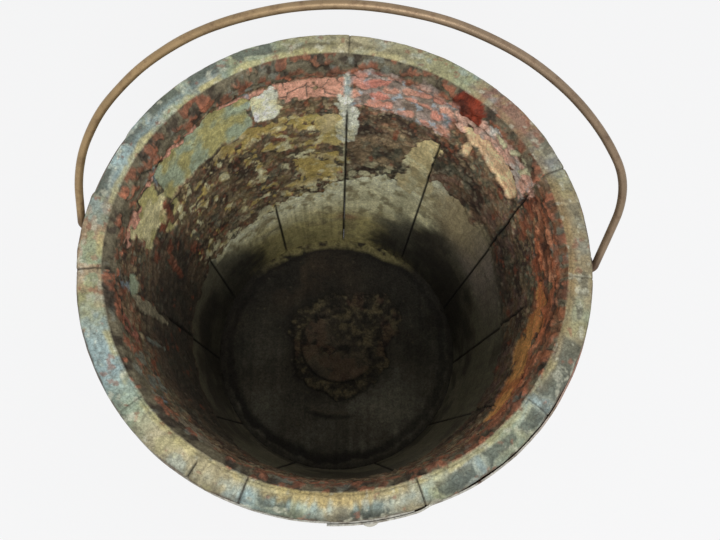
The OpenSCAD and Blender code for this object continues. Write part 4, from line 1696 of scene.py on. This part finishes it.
@dataclass
class Hoop:
    """A strip of thin iron round the staves, its outer end lapped over its inner.

    low is the height of its lower edge and lap_from the angle of its outer end. stand_off
    lists pairs (angle, millimetres) of how far it lies off the wood. wobble is how deep its
    dents are, and paint and kept set how much paint is left on it and along its top edge.
    """

    name: str
    low: float
    lap_from: float
    stand_off: tuple[tuple[float, float], ...]
    wobble: float
    paint: float
    kept: float
    width: float = SIZES.hoop_w
    thick: float = SIZES.hoop_t
    lap_mm: float = 44.0
    rows: int = 9
    columns: int = 900
    dent_r: float = 140.0
    corner: float = 0.25
    gloss: float = 0.12
    ears: tuple[float, float] = (177.4, 2.6)
    sizes: BucketSizes = SIZES

    def strip(self) -> tuple[Array, Array]:
        """Angles along the strip and how far its inside lies off the wood.

        Returns:
            The angles, from the outer end under the rivet round to the inner end, and the
            millimetres off the wood at each.
        """
        s = self.sizes
        sweep = math.degrees(self.lap_mm / s.wall_out(self.low))
        angle = np.linspace(self.lap_from, self.lap_from + 360 + sweep, self.columns)
        seat, over = s.seat, 2 * s.seat + self.thick
        past = angle - self.lap_from - sweep
        off = over + (seat - over) * ramp(0.6, 4.2, past)
        stops, lifts = zip(*self.stand_off)
        return angle, off + np.interp(angle, stops, lifts) * ramp(0.5, 6.0, past)

    def form(self, side: Array, level: Array) -> tuple[Array, Array]:
        """The strip's points, with gentle dents and wandering edges.

        Args:
            side: 1 on the outer face, 0 on the inner, one row a point of the section.
            level: 0 at the lower edge to 1 at the upper, likewise.

        Returns:
            The grid of points, and the angles along it.
        """
        angle, off = self.strip()
        a = np.radians(angle)[None, :]
        z = self.low + self.width * level + 0 * a
        x, y = self.dent_r * np.cos(a) + 0 * z, self.dent_r * np.sin(a) + 0 * z
        dent = self.wobble * fbm(x, y, z, 26, 301, 3)
        edge = 0.35 * fbm(x, y, 0 * z + level * 40, 9, 302, 3)
        # it stays flat under the ears and at the lap
        free = 1.0
        for ear in self.ears:
            free = free * ramp(6, 22, np.abs(bearing(angle, ear)))
        lap = ramp(32, 24, angle - self.lap_from) + ramp(354, 362, angle - self.lap_from)
        free = free * (1 - np.clip(lap, 0, 1))
        push = np.maximum(dent, -0.02) * free[None, :]
        z = np.clip(z + edge * free[None, :], self.low, self.low + self.width)
        flat = self.sizes.wall_out(z) + off[None, :] + side * self.thick
        radius = flat + push - self.corner * ((level < 0.01) | (level > 0.99)) * (side > 0.5)
        return np.stack([radius * np.cos(a), radius * np.sin(a), z], -1), angle

    def colours(self, grid: Array, angle: Array, side: Array, level: Array) -> Array:
        """Brown rust with what is left of a pale paint on the outer face.

        Args:
            grid, angle: What form returned.
            side, level: What it was given.

        Returns:
            A colour a point.
        """
        x, y, z = grid[..., 0], grid[..., 1], grid[..., 2]
        turn = angle[None, :] % 360
        blotch, fine = fbm(x, y, z, 14, 303, 5), fbm(x, y, z * 1.5, 4, 304, 4)
        face = Face.plain(Tone.HOOP_RUST, x)
        face.lay(Tone.HOOP_PIT, ramp(-0.3, 0.4, blotch))
        face.lay(Tone.HOOP_ORANGE, 0.5 * ramp(0.2, 0.5, fine))
        paint = Face.plain(Tone.HOOP_PAINT, x)
        paint.lay(Tone.HOOP_PAINT_OLD, ramp(-0.1, 0.5, fbm(x, y, z, 22, 305, 4)))
        paint.lay(Tone.HOOP_PINK, 0.8 * hump(turn, 338, 16))
        runs = fbm(x * 1.5, y * 1.5, z * 0.2, 8, 306, 3)
        paint.lay(Tone.HOOP_RUN, 0.6 * ramp(0.15, 0.5, runs))
        near_edge = np.minimum(level * self.width, (1 - level) * self.width + self.kept)
        left = ramp(0.9 - self.paint, 2.4 - self.paint, near_edge + 3.2 * fine + 4.0 * blotch)
        left = left * (1 - 0.75 * hump(turn, 180, 50))
        face.lay(paint.colour, left * ((side > 0.5) | (level > 0.99)))
        return face.colour

    def build(self, skin: bpy.types.Material) -> None:
        """Builds the hoop and rides it on the bucket.

        Args:
            skin: The finish of both hoops.
        """
        up = np.linspace(0, 1, self.rows)
        side = np.repeat([1.0, 0.0], self.rows)[:, None]
        level = np.concatenate([up, 1 - up])[:, None]
        grid, angle = self.form(side, level)
        colour = self.colours(grid, angle, side, level)
        piece = sweep_mesh(self.name, grid, {"tone": np.clip(colour, 0, 1),
                                             "gloss": np.full(grid.shape[:2], self.gloss)})
        piece.data.materials.append(skin)
        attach(piece, "bucket")
        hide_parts(self.name.replace("_strip", ""))
        LOG.info("%s: %d faces", self.name, len(piece.data.polygons))


# --------------------------------------------------------------------------- ironwork

@dataclass
class Fittings:
    """The ears, their nails and the hoops' rivets, dressed as they are packed."""

    ear: ForgedIron = ForgedIron("ear_iron_skin", paint_left=0.34)
    rivet: ForgedIron = ForgedIron("painted_rivet_skin", paint=(188, 184, 170),
                                   paint_left=0.56)
    nail: ForgedIron = ForgedIron("rusty_nail_skin", rust=(104, 62, 40), paint_left=0.2)

    def build(self) -> None:
        """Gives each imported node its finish."""
        for names, finish in (
                (("left_ear", "right_ear"), self.ear),
                (("top_hoop_rivet", "bottom_hoop_rivet"), self.rivet),
                (("left_ear_nails", "right_ear_nails"), self.nail)):
            material = finish.build()
            for name in names:
                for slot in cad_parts[name].material_slots:
                    slot.material = material
                LOG.info("dressed %s", name)


# --------------------------------------------------------------------------- bail

@dataclass(frozen=True)
class BareWire:
    """Smooth iron wire, browned by handling, with rust in streaks along it."""

    name: str = "bail_wire_skin"
    metallic: float = 0.55

    def build(self) -> bpy.types.Material:
        """Makes the finish.

        Returns:
            The material.
        """
        g = Graph(self.name)
        base = g.add("Attribute", attribute_name="tone").outputs["Color"]
        fine = g.noise(0.7, 6.0, 0.7)
        blotch = g.noise(5.0, 5.0, 0.65)
        colour = g.mix(g.span(blotch, 0.5, 0.72, 0.0, 0.55), base, Tone.WIRE_RUST)
        colour = g.mix(g.span(fine, 0.52, 0.8, 0.0, 0.35), colour, Tone.WIRE_PIT)
        rough = g.span(fine, 0.3, 0.7, 0.34, 0.56)
        return g.finish(colour, rough, g.bump(fine, 0.05), Metallic=self.metallic)


@dataclass
class Bail:
    """The wire bail: an end in each ear, a bend, a leg, a shoulder and the crown.

    It is drawn in its own plane, u across the bucket and v up from the pivots, and then
    raised by angle. rise is the crown's height over the pivots, and crown_flat how much
    larger its radius is than half the span. The two sides differ: shoulders, the radii, and
    bulges, how far each shoulder stands out past its pivot, give the right side first.
    """

    wire_d: float = 4.5
    rise: float = 143.0
    crown_flat: float = 17.0
    crown_shift: float = 6.6
    shoulders: tuple[float, float] = (58.0, 118.0)
    bulges: tuple[float, float] = (2.2, -1.4)
    bend_r: float = 3.4
    pin_depth: float = 8.0
    pin_step: float = 0.8
    bend_step: float = 0.5
    wire_step: float = 2.0
    sides: int = 24
    angle: float = 60.0
    pivot_y: float = 6.5
    pivot_z: float = 266.0
    ear_face: float = 3.0
    leg_gap: float = 0.6
    sizes: BucketSizes = SIZES
    finish: BareWire = BareWire()

    def side(self, shoulder_r: float, bulge: float, shift: float) -> list[tuple]:
        """Points of one side for +u, from the end in the ear to the crown's middle.

        Args:
            shoulder_r: The shoulder's radius.
            bulge: How far it stands out past its pivot.
            shift: The crown's middle, along u.

        Returns:
            Pairs (u, v) in the bail's plane.
        """
        wall = self.sizes.wall_out(self.pivot_z)
        leg_u = wall + self.ear_face + self.leg_gap + self.bend_r
        crown_r = leg_u + self.crown_flat
        crown_v = self.rise - crown_r
        su = leg_u + bulge - shoulder_r
        sv = crown_v + math.sqrt((crown_r - shoulder_r) ** 2 - (su - shift) ** 2)
        turn = math.atan2(sv - crown_v, su - shift)
        foot = (leg_u, self.bend_r)
        back = (foot[0] - su, foot[1] - sv)
        touch = math.atan2(back[1], back[0]) + math.acos(
            min(1, shoulder_r / math.hypot(*back)))
        top = (su + shoulder_r * math.cos(touch), sv + shoulder_r * math.sin(touch))
        lean = math.atan2(top[1] - foot[1], top[0] - foot[0])
        pin = leg_u - self.bend_r - wall + self.pin_depth
        points = [(wall - self.pin_depth + k * self.pin_step, 0.0)
                  for k in range(int(pin / self.pin_step))]

        def arc(cu: float, cv: float, r: float, a: float, b: float, step: float) -> None:
            """Adds points on an arc, not counting its end.

            Args:
                cu, cv: Its centre.
                r: Its radius.
                a, b: The angles it starts and ends at.
                step: About how far apart the points are.
            """
            n = max(2, round(abs(b - a) * r / step))
            points.extend((cu + r * math.cos(a + (b - a) * k / n),
                           cv + r * math.sin(a + (b - a) * k / n)) for k in range(n))

        arc(leg_u - self.bend_r, self.bend_r, self.bend_r, -math.pi / 2,
            lean - math.pi / 2, self.bend_step)
        start = (leg_u - self.bend_r + self.bend_r * math.sin(lean),
                 self.bend_r - self.bend_r * math.cos(lean))
        n = max(2, round(math.dist(start, top) / self.wire_step))
        points.extend((start[0] + (top[0] - start[0]) * k / n,
                       start[1] + (top[1] - start[1]) * k / n) for k in range(n))
        arc(su, sv, shoulder_r, touch, turn, self.wire_step)
        arc(shift, crown_v, crown_r, turn, math.pi / 2, self.wire_step)
        return points

    def build(self) -> None:
        """Builds the wire and rides it on its own body."""
        right = self.side(self.shoulders[0], self.bulges[0], self.crown_shift)
        left = self.side(self.shoulders[1], self.bulges[1], -self.crown_shift)
        middle = [(self.crown_shift, self.rise)]
        line = np.array(right + middle + [(-u, v) for u, v in reversed(left)])
        ahead = np.gradient(line, axis=0)
        ahead /= np.linalg.norm(ahead, axis=1)[:, None]
        # hand-bent wire wanders a little out of its plane, but not near the ears
        free = ramp(12, 60, line[:, 1])
        zero = 0 * line[:, 0]
        bow = 0.45 * fbm(line[:, 0], line[:, 1], zero, 60, 401, 2) * free
        sway = 0.35 * fbm(line[:, 0], line[:, 1], zero, 45, 402, 2) * free
        normal = np.stack([-ahead[:, 1], ahead[:, 0]], -1)
        line = line + normal * sway[:, None]
        turn = -np.linspace(0, 2 * math.pi, self.sides, endpoint=False)[:, None]
        worn = 1 - 0.035 * np.clip(fbm(line[:, 0], line[:, 1], zero, 18, 403, 2), 0, 1) * free
        r = self.wire_d / 2 * worn[None, :]
        u = line[:, 0] + normal[:, 0] * r * np.cos(turn)
        v = line[:, 1] + normal[:, 1] * r * np.cos(turn)
        w = bow[None, :] + r * np.sin(turn)
        tilt = math.radians(self.angle)
        y = self.pivot_y + v * math.cos(tilt) - w * math.sin(tilt)
        z = self.pivot_z + v * math.sin(tilt) + w * math.cos(tilt)
        along = np.broadcast_to(line[:, 0], u.shape)
        face = Face.plain(Tone.WIRE, u)
        # painted highlight: lighter and warmer towards the wire's left
        face.lay(Tone.WIRE_WARM, ramp(90, -110, along))
        face.shade(1 + 0.18 * fbm(along * 0.25, y, z, 7, 404, 4))
        face.lay(Tone.WIRE_FOOT, 0.7 * ramp(14, 3, v))
        piece = sweep_mesh("bail_wire", np.stack([u, y, z], -1),
                           {"tone": np.clip(face.colour, 0, 1)})
        piece.data.materials.append(self.finish.build())
        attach(piece, "bail")
        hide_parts("bail")
        LOG.info("bail: %d faces", len(piece.data.polygons))


# --------------------------------------------------------------------------- studio

@dataclass
class Studio:
    """Floor, lights and camera. The lamps' sizes are across their faces, in metres."""

    camera_at: tuple[float, float, float] = (12.26, -139.18, 650.63)
    camera_turn: tuple[float, float, float] = (19.032, -1.775, SPIN)
    lens: float = 35.0
    sky: float = 0.54
    key_watts: float = 12.5
    key_at: tuple[float, float, float] = (120.0, -980.0, 1380.0)
    key_size: float = 0.7
    backdrop: float = 0.93
    fill_at: tuple[float, float, float] = (900.0, 600.0, 1200.0)
    fill_share: float = 0.18
    fill_size: float = 1.4
    aim_at: tuple[float, float, float] = (0.0, 0.0, 150.0)
    floor_m: float = 12.0
    floor_glow: float = 0.82
    floor_tint: tuple[float, float, float] = (1.045, 1.045, 1.05)

    def floor(self) -> None:
        """A large plain floor that shows pale to the camera and keeps a soft shadow."""
        bpy.ops.mesh.primitive_plane_add(size=self.floor_m, location=(0, 0, 0))
        plane = bpy.context.object
        plane.name = "studio_floor"
        g = Graph("studio_floor_paper")
        path = g.add("LightPath")
        seen = g.math("MAXIMUM", path.outputs["Is Camera Ray"],
                      path.outputs["Is Glossy Ray"])
        seen = g.math("MAXIMUM", seen, path.outputs["Is Transmission Ray"])
        paper = g.add("BsdfDiffuse", {"Color": (0.80, 0.80, 0.80, 1)})
        level = (*(self.backdrop * c for c in self.floor_tint), 1)
        glow = g.add("Emission", {"Color": level, "Strength": 1.0})
        share = g.math("MULTIPLY", seen, self.floor_glow)
        mixed = g.add("MixShader", {0: share, 1: paper.outputs[0], 2: glow.outputs[0]})
        g.add("OutputMaterial", {"Surface": mixed.outputs[0]})
        plane.data.materials.append(g.owner)

    def world(self) -> None:
        """An even pale surround that shows white to the camera."""
        g = Graph("studio_world", world=True)
        bpy.context.scene.world = g.owner
        path = g.add("LightPath")
        light = g.add("Background", {"Color": (0.97, 0.985, 1.0, 1), "Strength": self.sky})
        white = g.add("Background", {"Color": (1, 1, 1, 1), "Strength": self.backdrop})
        seen = g.math("MAXIMUM", path.outputs["Is Camera Ray"], path.outputs["Is Glossy Ray"])
        mixed = g.add("MixShader", {0: seen, 1: light.outputs[0], 2: white.outputs[0]})
        g.add("OutputWorld", {"Surface": mixed.outputs[0]})

    def lamps(self) -> None:
        """One broad soft lamp high in front, and a faint one behind for the outline."""
        for name, at, watts, size in (
                ("key", self.key_at, self.key_watts, self.key_size),
                ("fill", self.fill_at, self.key_watts * self.fill_share, self.fill_size)):
            data = bpy.data.lights.new(name, "AREA")
            data.energy = watts
            data.size = size
            lamp = bpy.data.objects.new(name, data)
            lamp.location = Vector(at) * MM
            aim = Vector(self.aim_at) * MM - lamp.location
            lamp.rotation_euler = aim.to_track_quat("-Z", "Y").to_euler()
            bpy.context.scene.collection.objects.link(lamp)

    def camera(self) -> None:
        """The camera, above the bucket's front and looking down into it."""
        data = bpy.data.cameras.new("studio_camera")
        data.lens = self.lens
        data.sensor_width = 36.0
        camera = bpy.data.objects.new("studio_camera", data)
        turn = Euler([math.radians(a) for a in self.camera_turn], "XYZ")
        camera.matrix_world = Matrix.LocRotScale(Vector(self.camera_at) * MM, turn, None)
        bpy.context.scene.collection.objects.link(camera)
        bpy.context.scene.camera = camera

    def build(self) -> None:
        """Sets up everything that isn't part of the bucket."""
        self.floor()
        self.world()
        self.lamps()
        self.camera()
        bpy.context.scene.view_settings.view_transform = "Standard"


def main() -> None:
    """Builds the bucket's pieces in order."""
    logging.basicConfig(level=logging.INFO, format="%(name)s: %(message)s")
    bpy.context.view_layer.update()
    Studio().build()
    Staves().build()
    BottomBoard().build()
    iron = PaintedSkin("painted_hoop_skin", grain=1.0, contrast=0.26, relief=0.18,
                       lumps=0.5, specular=0.45).build()
    Hoop("top_hoop_strip", SIZES.top_hoop_z, 273.0, wobble=0.35, paint=0.2, kept=5.0,
         stand_off=((294, 0), (304, 1.1), (322, 1.3), (340, 0.5), (352, 0))).build(iron)
    Hoop("bottom_hoop_strip", SIZES.bottom_hoop_z, 128.0, wobble=0.3, paint=0.0, kept=0.0,
         stand_off=((152, 0), (165, 0.4), (182, 0))).build(iron)
    Fittings().build()
    Bail().build()


if __name__ == "__main__":
    main()
